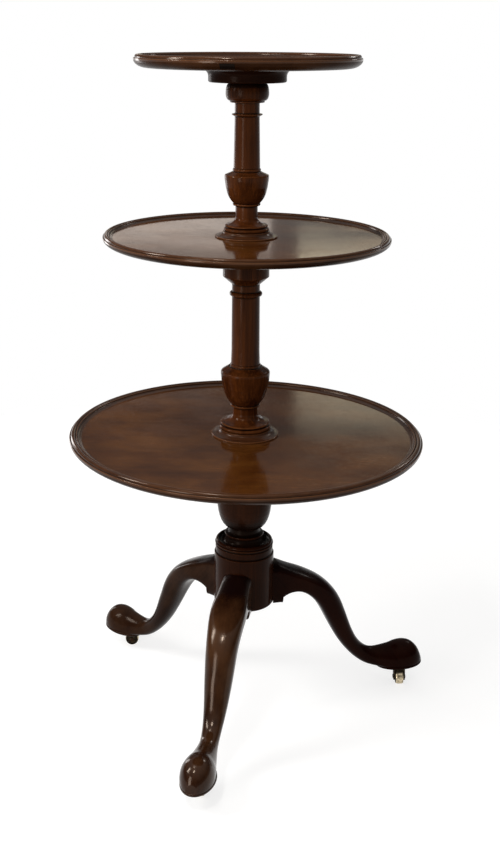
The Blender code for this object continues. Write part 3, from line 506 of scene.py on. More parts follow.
figure_group = make_figure_group()
polish_group = make_polish_group()
GRAIN_UP = (0.0, math.pi / 2, 0.0)
POLISH_TINT = (1.0, 0.82, 0.68)
# The pillar's colours are darker than the posts', partly as painted shade under the trays.
PILLAR_WOOD = {
    "ground": (0.019, 0.0042, 0.0012),
    "ribbon": (0.008, 0.0018, 0.0008),
    "streak": (0.034, 0.0088, 0.0026),
    "rubbed": (0.080, 0.031, 0.013),
    "wax": (0.0034, 0.0014, 0.0008),
    "wax_and_shade_depth": 0.90,
    "rubbing": 0.50,
    "wear": 0.15,
    "gloss": 0.10,
    "specular": 0.05,
    "relief": 0.30,
    "knocks": 0.5,
}
POST_WOOD = dict(
    PILLAR_WOOD, ground=(0.050, 0.0128, 0.0026), ribbon=(0.015, 0.0032, 0.0010),
    streak=(0.104, 0.029, 0.0064), rubbed=(0.125, 0.044, 0.014), gloss=0.12,
    specular=0.06,
)


def new_finish(name):
    """A fresh material, its tree, its shader and the piece's own coordinates."""
    finish = bpy.data.materials.new(name)
    finish.use_nodes = True
    tree = finish.node_tree
    spot = add_node(tree, "ShaderNodeTexCoord").outputs["Object"]
    return finish, tree, tree.nodes["Principled BSDF"], spot


def polished_wood(name, values, grain_turn, grain_shift=(0.0, 0.0, 0.0)):
    """A mahogany finish for one piece, its grain turned to lie along the piece."""
    finish, tree, shader, spot = new_finish(name)
    along = add_node(tree, "ShaderNodeMapping", {
        "Vector": spot, "Location": grain_shift, "Rotation": grain_turn,
    }, vector_type="POINT").outputs[0]
    figure = add_node(tree, "ShaderNodeGroup", {
        "Place": along, **{key: values[key] for key in FIGURE_COLOURS},
    }, node_tree=figure_group).outputs
    hollow = add_node(tree, "ShaderNodeAttribute", attribute_name="hollow").outputs["Fac"]
    polish = add_node(tree, "ShaderNodeGroup", {
        "Place": along, "wood": figure["Colour"], "hollow": hollow,
        **{key: values[key] for key in POLISH_COLOURS + POLISH_VALUES},
    }, node_tree=polish_group).outputs
    grain_bump = add_node(tree, "ShaderNodeBump", {
        "Strength": values["relief"] * 0.5, "Distance": 0.0002, "Height": figure["Height"],
    })
    polish_bump = add_node(tree, "ShaderNodeBump", {
        "Strength": values["relief"], "Distance": 0.0006, "Height": polish["Height"],
        "Normal": grain_bump.outputs[0],
    })
    feed(tree, shader, {
        "Base Color": polish["Colour"], "Roughness": polish["Roughness"],
        "Normal": polish_bump.outputs[0],
        "Specular IOR Level": values["specular"], "Specular Tint": POLISH_TINT,
    })
    return finish


def fit_piece(piece, finish, body, node):
    """Finish a piece, hang it on its body and let it stand for its solid."""
    piece.data.materials.clear()
    piece.data.materials.append(finish)
    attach(piece, body)
    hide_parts(node)


pillar_outline = draw_mouldings(
    PILLAR_MOULDINGS, pillar_low.z, pillar_high.z - pillar_low.z, DRUM_RADIUS,
)
pillar_outline = add_rings([(0.0, pillar_low.z)] + ease_corners(pillar_outline, ARRIS) + [
    (SOCKET_RADIUS, pillar_high.z),
    (SOCKET_RADIUS, pillar_high.z - SOCKET_DEPTH),
    (0.0, pillar_high.z - SOCKET_DEPTH),
])
base_pillar = finish_turning("base_pillar", pillar_outline, painted_shade=PILLAR_PAINTED_SHADE)
fit_piece(
    base_pillar, polished_wood("pillar_mahogany", PILLAR_WOOD, GRAIN_UP), "pillar",
    "base_column",
)

# Legs: three cabriole legs sawn and carved from the solid, each driven up into the drum
# on a sliding dovetail.  Each leg has a colour of its own, darker than the posts' partly as
# painted shade under the lower tray; the right leg's is darkest, painted shade on the side
# away from the lamps.  Painted shade lies on top of the knees beside the drum.
foot_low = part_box("front_leg")[0]
LEG_REACH = AXIS_Y - foot_low.y
LEG_SIDES = {"front": 270.0, "right": 30.0, "left": 154.0}
LEG_HALF_WIDTH = 0.0265
LEG_RING_POINTS = 48
LEG_STEPS_BETWEEN = 4
PAD_SIZE = (0.0860, 0.0550, 0.0050)
PAD_ROUND = 0.0022
DOVETAIL = (0.016, 0.012, 0.0085, 0.050)
DOVETAIL_PAST = 0.006
SEAT_CUT = (0.3, 0.08)
SEAT_STEPS = 128
PAD_STEPS = 112
LEG_GRAIN_TILT = math.radians(-50.0)
# Each station has the top's and the base's place out and up, in thousandths of the leg's
# reach and rise, then in thousandths the width, where it is widest, and how square its
# crown and its keel are.
LEG_STATIONS = (
    (-40, 1432, -40, 967, 970, 720, 2600, 9000),
    (20, 1414, 30, 967, 970, 720, 2600, 9000),
    (42, 1398, 46, 967, 980, 720, 2600, 9000),
    (52, 1389, 49, 1016, 980, 720, 2600, 8000),
    (116, 1333, 95, 1063, 1030, 700, 2500, 7000),
    (187, 1281, 148, 1073, 1100, 680, 2400, 6000),
    (250, 1228, 194, 1040, 1110, 650, 2300, 5000),
    (306, 1172, 236, 980, 1070, 610, 2250, 4400),
    (359, 1096, 271, 908, 1020, 570, 2200, 3800),
    (408, 993, 303, 822, 970, 540, 2150, 3300),
    (444, 881, 333, 723, 930, 520, 2100, 3000),
    (472, 756, 363, 617, 880, 500, 2100, 2700),
    (496, 630, 394, 512, 820, 500, 2300, 2500),
    (525, 498, 433, 393, 740, 500, 2200, 2400),
    (563, 370, 482, 274, 650, 500, 2200, 2300),
    (616, 271, 546, 155, 570, 500, 2100, 2300),
    (676, 234, 623, 63, 570, 420, 2000, 2600),
    (778, 251, 743, 13, 790, 240, 2000, 4000),
    (831, 271, 806, 13, 950, 220, 2000, 5000),
    (884, 274, 870, 13, 1010, 220, 2000, 5000),
    (930, 248, 926, 13, 890, 220, 2000, 5000),
    (967, 185, 968, 13, 630, 240, 2000, 4000),
    (989, 102, 993, 15, 300, 300, 2000, 3000),
)
# Leg colours: darker than the posts', partly as painted shade under the lower tray.
LEG_WOOD = dict(
    PILLAR_WOOD, ground=(0.017, 0.0050, 0.0020), ribbon=(0.009, 0.0024, 0.0012),
    streak=(0.033, 0.0105, 0.0040), rubbed=(0.066, 0.027, 0.0105),
    wax=(0.0052, 0.0009, 0.0010), gloss=0.12, rubbing=0.30, wear=0.85,
    specular=0.25, relief=0.22,
)
# The left leg's colours are darker than the front's; the right leg's are darker still, as
# painted shade on the side away from the lamps.
LEG_TONED_AND_SHADED_WOODS = {
    "front": LEG_WOOD,
    "left": dict(
        LEG_WOOD, ground=(0.0145, 0.0050, 0.0025), ribbon=(0.008, 0.0026, 0.0014),
        streak=(0.024, 0.0088, 0.0040), rubbed=(0.041, 0.0180, 0.0084),
        specular=0.055,
    ),
    "right": dict(
        LEG_WOOD, ground=(0.0085, 0.0015, 0.0010), ribbon=(0.006, 0.0011, 0.0008),
        streak=(0.014, 0.0030, 0.0017), rubbed=(0.020, 0.0056, 0.0031),
        gloss=0.13, specular=0.03,
    ),
}
# Painted shade on top of the knees beside the drum, under the lower tray, fading out along the
# leg.
KNEE_PAINTED_SHADE = 0.72
KNEE_PAINTED_SHADE_SPAN = 0.062


def fair_stations(table, between):
    """Stations of a carved leg with others faired in between them."""
    stations = [[value / 1000 for value in row] for row in table]
    faired = []
    last = len(stations) - 1
    for index in range(last):
        knots = [stations[max(0, min(last, index + step))] for step in (-1, 0, 1, 2)]
        for step in range(between):
            t = step / between
            faired.append([
                0.5 * (2 * b + (c - a) * t + (2 * a - 5 * b + 4 * c - d) * t ** 2
                       + (3 * b - a - 3 * c + d) * t ** 3)
                for a, b, c, d in zip(*knots)
            ])
    return faired + [stations[-1]]


def show_mesh(name, mesh):
    """A new piece with a mesh, in the scene."""
    piece = bpy.data.objects.new(name, mesh)
    bpy.context.scene.collection.objects.link(piece)
    return piece


def carve_leg(name):
    """The leg's skin through its faired stations, pointing along +X from the pillar."""
    shape = bmesh.new()
    span, rise = LEG_REACH - DRUM_RADIUS, pillar_low.z - foot_low.z
    rings = []
    for row in fair_stations(LEG_STATIONS, LEG_STEPS_BETWEEN):
        top_out, top_up, base_out, base_up, width, belly, crown, keel = row
        top = Vector((DRUM_RADIUS + top_out * span, 0, foot_low.z + top_up * rise))
        base = Vector((DRUM_RADIUS + base_out * span, 0, foot_low.z + base_up * rise))
        middle = base.lerp(top, belly)
        ring = []
        for step in range(LEG_RING_POINTS):
            angle = math.tau * (step + 0.5) / LEG_RING_POINTS
            across, up = math.cos(angle), math.sin(angle)
            power = crown if up > 0 else keel
            side = math.copysign(abs(across) ** (2 / power), across)
            centre = middle.lerp(top if up > 0 else base, abs(up) ** (2 / power))
            ring.append(shape.verts.new(centre + Vector((0, side * width * LEG_HALF_WIDTH, 0))))
        rings.append(ring)
    for ring, following in zip(rings, rings[1:]):
        for step in range(LEG_RING_POINTS):
            after = (step + 1) % LEG_RING_POINTS
            shape.faces.new((ring[step], ring[after], following[after], following[step]))
    shape.faces.new(reversed(rings[0]))
    shape.faces.new(rings[-1])
    bmesh.ops.recalc_face_normals(shape, faces=shape.faces)
    mesh = bpy.data.meshes.new(name)
    shape.to_mesh(mesh)
    shape.free()
    return show_mesh(name, mesh)


def mark_hollows(piece):
    """Keep on each point how hollow the surface is there: a quirk is above nought, an
    arris is below."""
    mesh = piece.data
    shape = bmesh.new()
    shape.from_mesh(mesh)
    shape.normal_update()
    values = []
    for vert in shape.verts:
        lifts = [
            (edge.other_vert(vert).co - vert.co).normalized().dot(vert.normal)
            for edge in vert.link_edges if edge.calc_length() > 1e-7
        ]
        values.append(sum(lifts) / max(1, len(lifts)))
    evened = [
        (values[vert.index] * 2 + sum(
            values[edge.other_vert(vert).index] for edge in vert.link_edges
        )) / (2 + len(vert.link_edges))
        for vert in shape.verts
    ]
    shape.free()
    mark = mesh.attributes.new("hollow", "FLOAT", "POINT")
    mark.data.foreach_set("value", evened)


def join_shape(piece, tool, operation):
    """Cut a tool out of a piece, or join it on, and take the tool away."""
    work_piece(piece, "BOOLEAN", operation=operation, object=tool)
    bpy.data.objects.remove(tool, do_unlink=True)


def make_block(near, far, width, middle, height):
    """A block between two distances along X, centred on Y and on a height."""
    bpy.ops.object.select_all(action="DESELECT")
    bpy.ops.mesh.primitive_cube_add(size=1.0, location=((near + far) / 2, 0, middle))
    block = bpy.context.object
    block.dimensions = (far - near, width, height)
    bpy.ops.object.transform_apply()
    return block


def dovetail_block(clearance):
    """The tail of a leg, or its slot: a block that narrows to its neck."""
    depth, tail_half, neck_half, height = DOVETAIL
    block = make_block(
        DRUM_RADIUS - depth, DRUM_RADIUS + DOVETAIL_PAST, 2 * (tail_half + clearance),
        pillar_low.z + height / 2, height + clearance,
    )
    bpy.ops.object.mode_set(mode="EDIT")
    drawn = bmesh.from_edit_mesh(block.data)
    for face in drawn.faces:
        face.select_set(face.normal.x > 0.9)
    bmesh.update_edit_mesh(block.data)
    bpy.ops.transform.resize(
        value=(1, (neck_half + clearance) / (tail_half + clearance), 1),
        center_override=(0, 0, 0),
    )
    bpy.ops.object.mode_set(mode="OBJECT")
    return block


def turn_into_place(piece, azimuth):
    """Turn a piece made along +X to its azimuth round the pillar's axis."""
    piece.data.transform(
        Matrix.Translation((AXIS_X, AXIS_Y, 0)) @ Matrix.Rotation(math.radians(azimuth), 4, "Z")
    )


def make_disc(steps, length, width, thickness, out, middle):
    """An upright disc or cylinder at a distance along X, centred on a height."""
    bpy.ops.object.select_all(action="DESELECT")
    bpy.ops.mesh.primitive_cylinder_add(
        vertices=steps, radius=1.0, depth=thickness, location=(out, 0, middle),
    )
    disc = bpy.context.object
    disc.scale = (length / 2, width / 2, 1.0)
    bpy.ops.object.transform_apply()
    return disc


leg_blank = carve_leg("leg_blank")
drum_width = 2 * (DRUM_RADIUS + CLEARANCE)
join_shape(leg_blank, make_disc(
    SEAT_STEPS, drum_width, drum_width, SEAT_CUT[0], 0.0, pillar_low.z + SEAT_CUT[1],
), "DIFFERENCE")
pad_length, pad_width, pad_height = PAD_SIZE
foot_pad = make_disc(
    PAD_STEPS, pad_length, pad_width, pad_height,
    LEG_REACH - pad_length / 2, foot_low.z + pad_height / 2,
)
bpy.ops.object.mode_set(mode="EDIT")
bpy.ops.mesh.select_all(action="DESELECT")
pad_shape = bmesh.from_edit_mesh(foot_pad.data)
for edge in pad_shape.edges:
    edge.select_set(abs(edge.verts[0].co.z - edge.verts[1].co.z) < 1e-6)
bmesh.update_edit_mesh(foot_pad.data)
bpy.ops.mesh.bevel(offset=PAD_ROUND, segments=4, affect="EDGES")
bpy.ops.object.mode_set(mode="OBJECT")
join_shape(leg_blank, foot_pad, "UNION")
join_shape(leg_blank, dovetail_block(0.0), "UNION")
for side, azimuth in LEG_SIDES.items():
    slot_block = dovetail_block(CLEARANCE)
    turn_into_place(slot_block, azimuth)
    join_shape(base_pillar, slot_block, "DIFFERENCE")
    leg = show_mesh(f"{side}_cabriole_leg", leg_blank.data.copy())
    turn_into_place(leg, azimuth)
    smooth_piece(leg, 45.0)
    mark_hollows(leg)
    # Painted shade on the knees: added to the hollow mark on upward faces near the drum.
    for vert, mark in zip(leg.data.vertices, leg.data.attributes["hollow"].data):
        reach = math.hypot(vert.co.x - AXIS_X, vert.co.y - AXIS_Y) - DRUM_RADIUS
        crown = max(0.0, vert.normal.z)
        mark.value += KNEE_PAINTED_SHADE * crown * max(0.0, 1 - reach / KNEE_PAINTED_SHADE_SPAN)
    unturned = Matrix.Rotation(math.radians(-azimuth), 3, "Z")
    lie = Matrix.Rotation(LEG_GRAIN_TILT, 3, "Y") @ unturned
    fit_piece(leg, polished_wood(
        f"{side}_leg_mahogany", LEG_TONED_AND_SHADED_WOODS[side], lie.to_euler(), (azimuth, 0, 0),
    ), "pillar", f"{side}_leg")
bpy.data.objects.remove(leg_blank, do_unlink=True)

# Leg brace: a three-armed plate of black iron, cut from sheet and filed, let up against
# the drum's underside over the dovetails and held with four steel screws.
IRON = {"bright": (0.060, 0.054, 0.050), "tarnish": (0.045, 0.022, 0.012)}
STEEL = {"bright": (0.30, 0.28, 0.26), "tarnish": (0.060, 0.036, 0.024)}
BRACE_BEVEL = 0.0004
BEVEL_ANGLE = math.radians(30.0)
FLAT_ANGLE = math.radians(1.0)
WELD_DISTANCE = 0.00001


def make_metal_group():
    """Handled metal: bright where it is rubbed, dull and darker where it has tarnished."""
    group, given = start_group(
        "aged_metal", ("bright", "tarnish"), ("dullness", "gloss"), ("Roughness", "Height"),
    )
    place = given["Place"]
    cloud = grain_noise(group, place, (240.0, 240.0, 240.0), 6.0, 0.65)
    pitting = spread(group, nearest_spot(group, place, 900.0), 0.22, 0.05)
    scratches = grain_noise(group, place, (300.0, 6000.0, 6000.0), 2.0, 0.6)
    dull = spread(group, weighed(group, (cloud, 1), (given["dullness"], 0.5)), 0.45, 0.85)
    colour = mix_colours(group, dull, given["bright"], given["tarnish"])
    colour = mix_colours(group, weighed(group, (pitting, 0.5)), colour, given["tarnish"])
    rough = weighed(
        group, (given["gloss"], 1), (dull, 0.25), (pitting, 0.15), (scratches, 0.08),
    )
    height = weighed(group, (cloud, 0.4), (pitting, -0.6), (scratches, 0.25))
    add_node(group, "NodeGroupOutput", {
        "Colour": colour, "Roughness": rough, "Height": height,
    })
    return group


metal_group = make_metal_group()


def aged_metal(name, colours, dullness, gloss):
    """A metal finish with its own bright and tarnished colours."""
    finish, tree, shader, spot = new_finish(name)
    metal = add_node(tree, "ShaderNodeGroup", {
        "Place": spot, **colours, "dullness": dullness, "gloss": gloss,
    }, node_tree=metal_group).outputs
    bump = add_node(tree, "ShaderNodeBump", {
        "Strength": 0.35, "Distance": 0.0001, "Height": metal["Height"],
    })
    feed(tree, shader, {
        "Base Color": metal["Colour"], "Roughness": metal["Roughness"],
        "Normal": bump.outputs[0], "Metallic": 1.0,
    })
    return finish


def dress_solid(node, finish):
    """Give a solid that shows as it is its finish."""
    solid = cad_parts[node]
    solid.data.materials.clear()
    solid.data.materials.append(finish)


def bevel_copy(node, name, width):
    """A copy of a solid with its edges filed off."""
    piece = show_mesh(name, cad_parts[node].data.copy())
    pick(piece)
    bpy.ops.object.mode_set(mode="EDIT")
    bpy.ops.mesh.select_all(action="SELECT")
    bpy.ops.mesh.remove_doubles(threshold=WELD_DISTANCE)
    bpy.ops.mesh.dissolve_limited(angle_limit=FLAT_ANGLE)
    bpy.ops.object.mode_set(mode="OBJECT")
    work_piece(
        piece, "BEVEL", width=width, segments=3, limit_method="ANGLE",
        angle_limit=BEVEL_ANGLE,
    )
    smooth_piece(piece, 40.0)
    return piece


screw_steel = aged_metal("screw_steel", STEEL, 0.45, 0.34)
fit_piece(
    bevel_copy("leg_brace", "brace_plate", BRACE_BEVEL),
    aged_metal("black_iron", IRON, 0.6, 0.48), "pillar", "leg_brace",
)
for side in ("centre", "front", "right", "left"):
    dress_solid(f"brace_screw_{side}", screw_steel)

# Castors: small brass castors, with a plate screwed under the foot, a cast fork that
# turns on a riveted pivot, and a solid roller on an iron pin.
BRASS = {"bright": (0.74, 0.63, 0.43), "tarnish": (0.070, 0.045, 0.022)}
DARK_BRASS = {"bright": (0.11, 0.082, 0.045), "tarnish": (0.020, 0.014, 0.009)}
roller_low, roller_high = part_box("left_castor_wheel")
ROLLER_RADIUS = (roller_high.z - roller_low.z) / 2
ROLLER_WIDTH = 0.013
ROLLER_CROWN = 0.0012
ROLLER_BORE = 0.0021
ROLLER_STEPS = 96
CHEEK_SINK = 0.0005
CHEEK_FACING = 0.6
SMALL_ARRIS = 0.0003
FORK_BEVEL = 0.0005
PLATE_BEVEL = 0.0003
CASTOR_HEADINGS = {"front": 90.0, "right": 284.0, "left": 14.0}
plate_brass = aged_metal("plate_brass", DARK_BRASS, 0.6, 0.36)
fork_brass = aged_metal("fork_brass", DARK_BRASS, 0.6, 0.34)
roller_brass = aged_metal("roller_brass", BRASS, 0.20, 0.26)
cheek_brass = aged_metal("cheek_brass", DARK_BRASS, 0.7, 0.40)
pin_iron = aged_metal("pin_iron", IRON, 0.7, 0.42)
roller_half = ROLLER_WIDTH / 2
roller_cheek = [
    (ROLLER_BORE, roller_half),
    (ROLLER_BORE + 0.0020, roller_half),
    (ROLLER_BORE + 0.0026, roller_half - CHEEK_SINK),
    (ROLLER_RADIUS - 0.0034, roller_half - CHEEK_SINK),
    (ROLLER_RADIUS - 0.0028, roller_half),
    (ROLLER_RADIUS - ROLLER_CROWN, roller_half),
    (ROLLER_RADIUS - 0.0003, roller_half - 0.0020),
    (ROLLER_RADIUS, 0.0020),
]
roller_outline = ease_corners(
    [(radius, -height) for radius, height in roller_cheek] + roller_cheek[::-1], SMALL_ARRIS,
)
roller_blank = turn_piece("roller_blank", roller_outline, ROLLER_STEPS, (0.0, 0.0))
for side, heading in CASTOR_HEADINGS.items():
    low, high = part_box(f"{side}_castor_wheel")
    heading_turn = Matrix.Rotation(math.radians(heading), 4, "Z")
    roller = show_mesh(f"{side}_roller", roller_blank.data.copy())
    roller.data.transform(
        Matrix.Translation((low + high) / 2) @ heading_turn
        @ Matrix.Rotation(math.pi / 2, 4, "X")
    )
    smooth_piece(roller)
    fit_piece(roller, roller_brass, f"{side}_roller", f"{side}_castor_wheel")
    roller.data.materials.append(cheek_brass)
    pin = heading_turn @ Vector((0, 1, 0))
    for face in roller.data.polygons:
        face.material_index = int(abs(face.normal.dot(pin)) > CHEEK_FACING)
    fit_piece(
        bevel_copy(f"{side}_castor_horn", f"{side}_fork", FORK_BEVEL), fork_brass,
        f"{side}_swivel", f"{side}_castor_horn",
    )
    fit_piece(
        bevel_copy(f"{side}_castor_plate", f"{side}_foot_plate", PLATE_BEVEL), plate_brass,
        "pillar", f"{side}_castor_plate",
    )
    dress_solid(f"{side}_castor_axle", pin_iron)
    for number in (1, 2, 3):
        dress_solid(f"{side}_plate_screw_{number}", screw_steel)
bpy.data.objects.remove(roller_blank, do_unlink=True)

# Trays: each one board of mahogany turned on the face plate, with a dished field and a
# raised rim worked as a thumb moulding, a quirk, a bead and a hollow.  Fields are pale
# from use and light, the quirk holds dark wax darkened further with painted shade, and
# the undersides are darkened as painted shade.
TRAY_STEPS = 224
HOUSING_DEPTH = 0.0015
FIELD_SINK = 0.0006
RIM_DEPTH = 0.0022
SOFFIT_REACH = 1.15
SOFFIT_FULLNESS = 1.12
SOFFIT_STEPS = 14
GRAIN_ACROSS = (0.0, 0.0, math.radians(-13.25))
TRAY_WOOD = {
    "ground": (0.055, 0.0160, 0.0032),
    "ribbon": (0.040, 0.0113, 0.0024),
    "streak": (0.088, 0.0272, 0.0048),
    "rubbed": (0.130, 0.046, 0.0080),
    "wax": (0.0045, 0.0020, 0.0012),
    "wax_and_shade_depth": 0.92,
    "rubbing": 0.45,
    "wear": 0.62,
    "gloss": 0.075,
    "specular": 0.22,
    "relief": 0.12,
    "knocks": 0.0,
}
RIM_WOOD = dict(
    TRAY_WOOD, ground=(0.034, 0.0115, 0.0042), ribbon=(0.020, 0.0066, 0.0026),
    streak=(0.060, 0.0215, 0.0078), rubbed=(0.090, 0.035, 0.013),
    rubbing=0.75, wear=0.35, gloss=0.12,
)
# The trays' soffits and undersides: darker colours as painted shade on faces turned down.
SHADED_SOFFIT_WOOD = dict(
    RIM_WOOD, ground=(0.016, 0.0052, 0.0018), ribbon=(0.009, 0.0030, 0.0012),
    streak=(0.028, 0.0095, 0.0030), rubbing=0.3, gloss=0.24, specular=0.03,
)


def curve_points(centre, radii, start, end, steps):
    """Points of an elliptic arc between two angles in degrees, both ends included."""
    points = []
    for step in range(steps + 1):
        angle = math.radians(start + (end - start) * step / steps)
        points.append((
            centre[0] + radii[0] * math.cos(angle), centre[1] + radii[1] * math.sin(angle),
        ))
    return points


def tray_edge(radius, tip, drop, width, rise):
    """Underside's edge, soffit and moulded rim of a tray, from below and out to in."""
    land = tip - drop * 0.10
    undercut = width * SOFFIT_REACH
    edge = []
    for step in range(SOFFIT_STEPS + 1):
        angle = math.pi / 2 * step / SOFFIT_STEPS
        edge.append((
            radius - undercut * (1 - math.sin(angle) ** SOFFIT_FULLNESS),
            land - (land - tip + drop) * math.cos(angle) ** SOFFIT_FULLNESS,
        ))
    lip = curve_points((0.055, 0.02), (0.055, 0.20), 180, 70, 6)
    thumb = curve_points((0.335, 0.22), (0.215, 0.78), 185, 35, 16)
    bead = curve_points((0.605, 0.62), (0.065, 0.16), 200, -10, 10)
    hollow = curve_points((1.00, 0.60), (0.325, 0.62), 185, 262, 8)
    worked = [
        (radius - width * inset, tip + rise * share)
        for inset, share in lip + [(0.100, 0.15)] + thumb + [(0.535, 0.58)] + bead + hollow
    ]
    return edge + worked


def finish_tray(tray, tier, tip, field_edge, shift):
    """Finish a tray three ways: worn field, darker rubbed rim, and an underside darkened as
    painted shade.
    """
    name = f"{tier}_tray"
    fit_piece(tray, polished_wood(f"{name}_field", TRAY_WOOD, GRAIN_ACROSS, shift),
              f"{tier}_tier", name)
    for part, wood in (("rim", RIM_WOOD), ("soffit", SHADED_SOFFIT_WOOD)):
        tray.data.materials.append(polished_wood(f"{name}_{part}", wood, GRAIN_ACROSS, shift))
    for face in tray.data.polygons:
        out = math.hypot(face.center.x - AXIS_X, face.center.y - AXIS_Y)
        if face.center.z < tip - RIM_DEPTH:
            face.material_index = 2
        elif out > field_edge:
            face.material_index = 1


def place_of(node):
    """Foot, head and half width of a solid."""
    low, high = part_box(node)
    return low.z, high.z, (high.x - low.x) / 2


def tray_outline(node, tip, width, rise, collar_radius, bore):
    """Half section of a tray with its bore and the shallow housing for its collar."""
    underside, _, radius = place_of(node)
    field, housing = tip - FIELD_SINK, collar_radius + CLEARANCE
    outline = [(bore, underside)] + tray_edge(radius, tip, tip - underside, width, rise)
    outline += [(radius - width, field), (housing, field)]
    return outline + [(housing, field - HOUSING_DEPTH), (bore, field - HOUSING_DEPTH)]


for tier, tip, width, rise, collar_radius, bore, field_edge, shift in (
    ("lower", 0.475, 0.020, 0.0060, 0.0574, 0.0183, 0.2790, (0.0, 0.0, 0.0)),
    ("middle", 0.816, 0.016, 0.0056, 0.0533, 0.0163, 0.2265, (3.1, 0.4, 0.0)),
):
    outline = add_rings(tray_outline(f"{tier}_tray", tip, width, rise, collar_radius, bore))
    tray = finish_turning(f"{tier}_dished_tray", outline, TRAY_STEPS)
    finish_tray(tray, tier, tip, field_edge, shift)

# Collars: thin spreading rings of darker mahogany, turned with a rounded lip and a
# hollow, and let into the trays round the feet of the posts.
COLLAR_WOOD = dict(
    POST_WOOD, ground=(0.044, 0.0150, 0.0060), ribbon=(0.026, 0.0085, 0.0034),
    streak=(0.072, 0.025, 0.0095), rubbing=0.6, wax_and_shade_depth=0.55, gloss=0.17,
    specular=0.16,
)
BLOCK_WOOD = dict(
    COLLAR_WOOD, ground=(0.013, 0.0042, 0.0022), ribbon=(0.008, 0.0026, 0.0014),
    streak=(0.020, 0.0068, 0.0034), rubbed=(0.040, 0.014, 0.0070),
    rubbing=0.3, specular=0.02,
)
LIP_SHARE = 0.24
NECK_SHARE = 0.75
FOOT_EASE = 0.0004
LIP_EASE = 0.0014


def collar_outline(node, field, bore):
    """Half section of a collar: foot in its housing, rounded lip, hollow, neck."""
    foot, head, radius = place_of(node)
    lip = (head - field) * LIP_SHARE
    neck = radius * NECK_SHARE
    outer, crest = radius - LIP_EASE, head - FOOT_EASE
    outline = [(bore, foot), (radius - FOOT_EASE, foot), (radius - FOOT_EASE, field)]
    outline += curve_points(
        (radius - lip / 2, field + lip / 2), (lip / 2, lip / 2), -70, 90, 10,
    )
    outline += curve_points(
        (outer, crest), (outer - neck, crest - field - lip), -90, -180, 12,
    )
    return outline + [(neck, head), (bore, head)]


for tier, field, bore in (("lower", 0.4744, 0.0183), ("middle", 0.8154, 0.0163)):
    outline = ease_corners(collar_outline(f"{tier}_collar", field, bore), SMALL_ARRIS)
    collar = finish_turning(f"{tier}_ring_collar", add_rings(outline))
    fit_piece(
        collar, polished_wood(f"{tier}_ring_collar_mahogany", COLLAR_WOOD, GRAIN_ACROSS),
        f"{tier}_tier", f"{tier}_collar",
    )

# Middle post: foot rings, an urn, a long shaft with an astragal, and a spreading head.
# Its tenon passes down through the lower tray into the base pillar.
MIDDLE_POST_RADIUS = 0.042
MIDDLE_POST_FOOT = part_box("lower_collar")[1].z + CLEARANCE
MIDDLE_POST_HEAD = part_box("middle_post")[1].z
MIDDLE_JOINTS = (0.013, 0.018, 0.0113)
MIDDLE_SOCKET_DEPTH = 0.041
# Painted shade on the head under the middle tray: shares added to the hollow mark, by height.
MIDDLE_POST_PAINTED_SHADE = ((0.700, 0.06), (0.745, 0.10), (0.760, 0.17), (0.801, 0.22))
MIDDLE_POST_MOULDINGS = (
    (0, 965), (20, 965, "bead"), (23, 935), (26, 960), (35, 965, "bead"), (37, 950),
    (82, 508, "sweep"), (117, 500), (120, 560), (132, 560, "bead"), (136, 605), (146, 665),
    (160, 740), (175, 800), (192, 850), (228, 925), (266, 977), (300, 1000), (309, 990),
    (315, 950), (336, 690), (333, 650), (337, 622), (348, 618), (352, 588), (424, 571),
    (718, 567), (744, 567, "bead"), (784, 567), (786, 595), (825, 940), (889, 940), (892, 869),
    (952, 869), (977, 1048), (1000, 1048),
)


def turn_post(tier, mouldings, widest, foot, head, seat, end, joints, painted_shade, shift):
    """Turn a post: its tenon and journal stand in the piece below, whose seat is a height,
    and its head ends in a socket down or a spigot up to another height."""
    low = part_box(f"{tier}_post")[0].z
    tenon, journal, head_joint = joints
    shown = ease_corners(draw_mouldings(mouldings, foot, head - foot, widest), ARRIS)
    outline = add_rings([
        (0.0, low), (tenon, low), (tenon, seat), (journal, seat), (journal, foot),
    ] + shown + [(head_joint, head), (head_joint, end), (0.0, end)])
    post = finish_turning(f"{tier}_turned_post", outline, painted_shade=painted_shade)
    fit_piece(
        post, polished_wood(f"{tier}_post_mahogany", POST_WOOD, GRAIN_UP, shift),
        "pillar", f"{tier}_post",
    )


turn_post(
    "middle", MIDDLE_POST_MOULDINGS, MIDDLE_POST_RADIUS, MIDDLE_POST_FOOT, MIDDLE_POST_HEAD,
    pillar_high.z + CLEARANCE, MIDDLE_POST_HEAD - MIDDLE_SOCKET_DEPTH, MIDDLE_JOINTS,
    MIDDLE_POST_PAINTED_SHADE, (0, 0.7, 0),
)

# Upper post: the same pattern, more slender, ending in a rounded capital and the
# spigot that the top tray's block sits on.
UPPER_POST_RADIUS = 0.0366
UPPER_POST_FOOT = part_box("middle_collar")[1].z + CLEARANCE
UPPER_POST_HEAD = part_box("top_boss")[0].z - CLEARANCE
UPPER_JOINTS = (0.011, 0.016, 0.011)
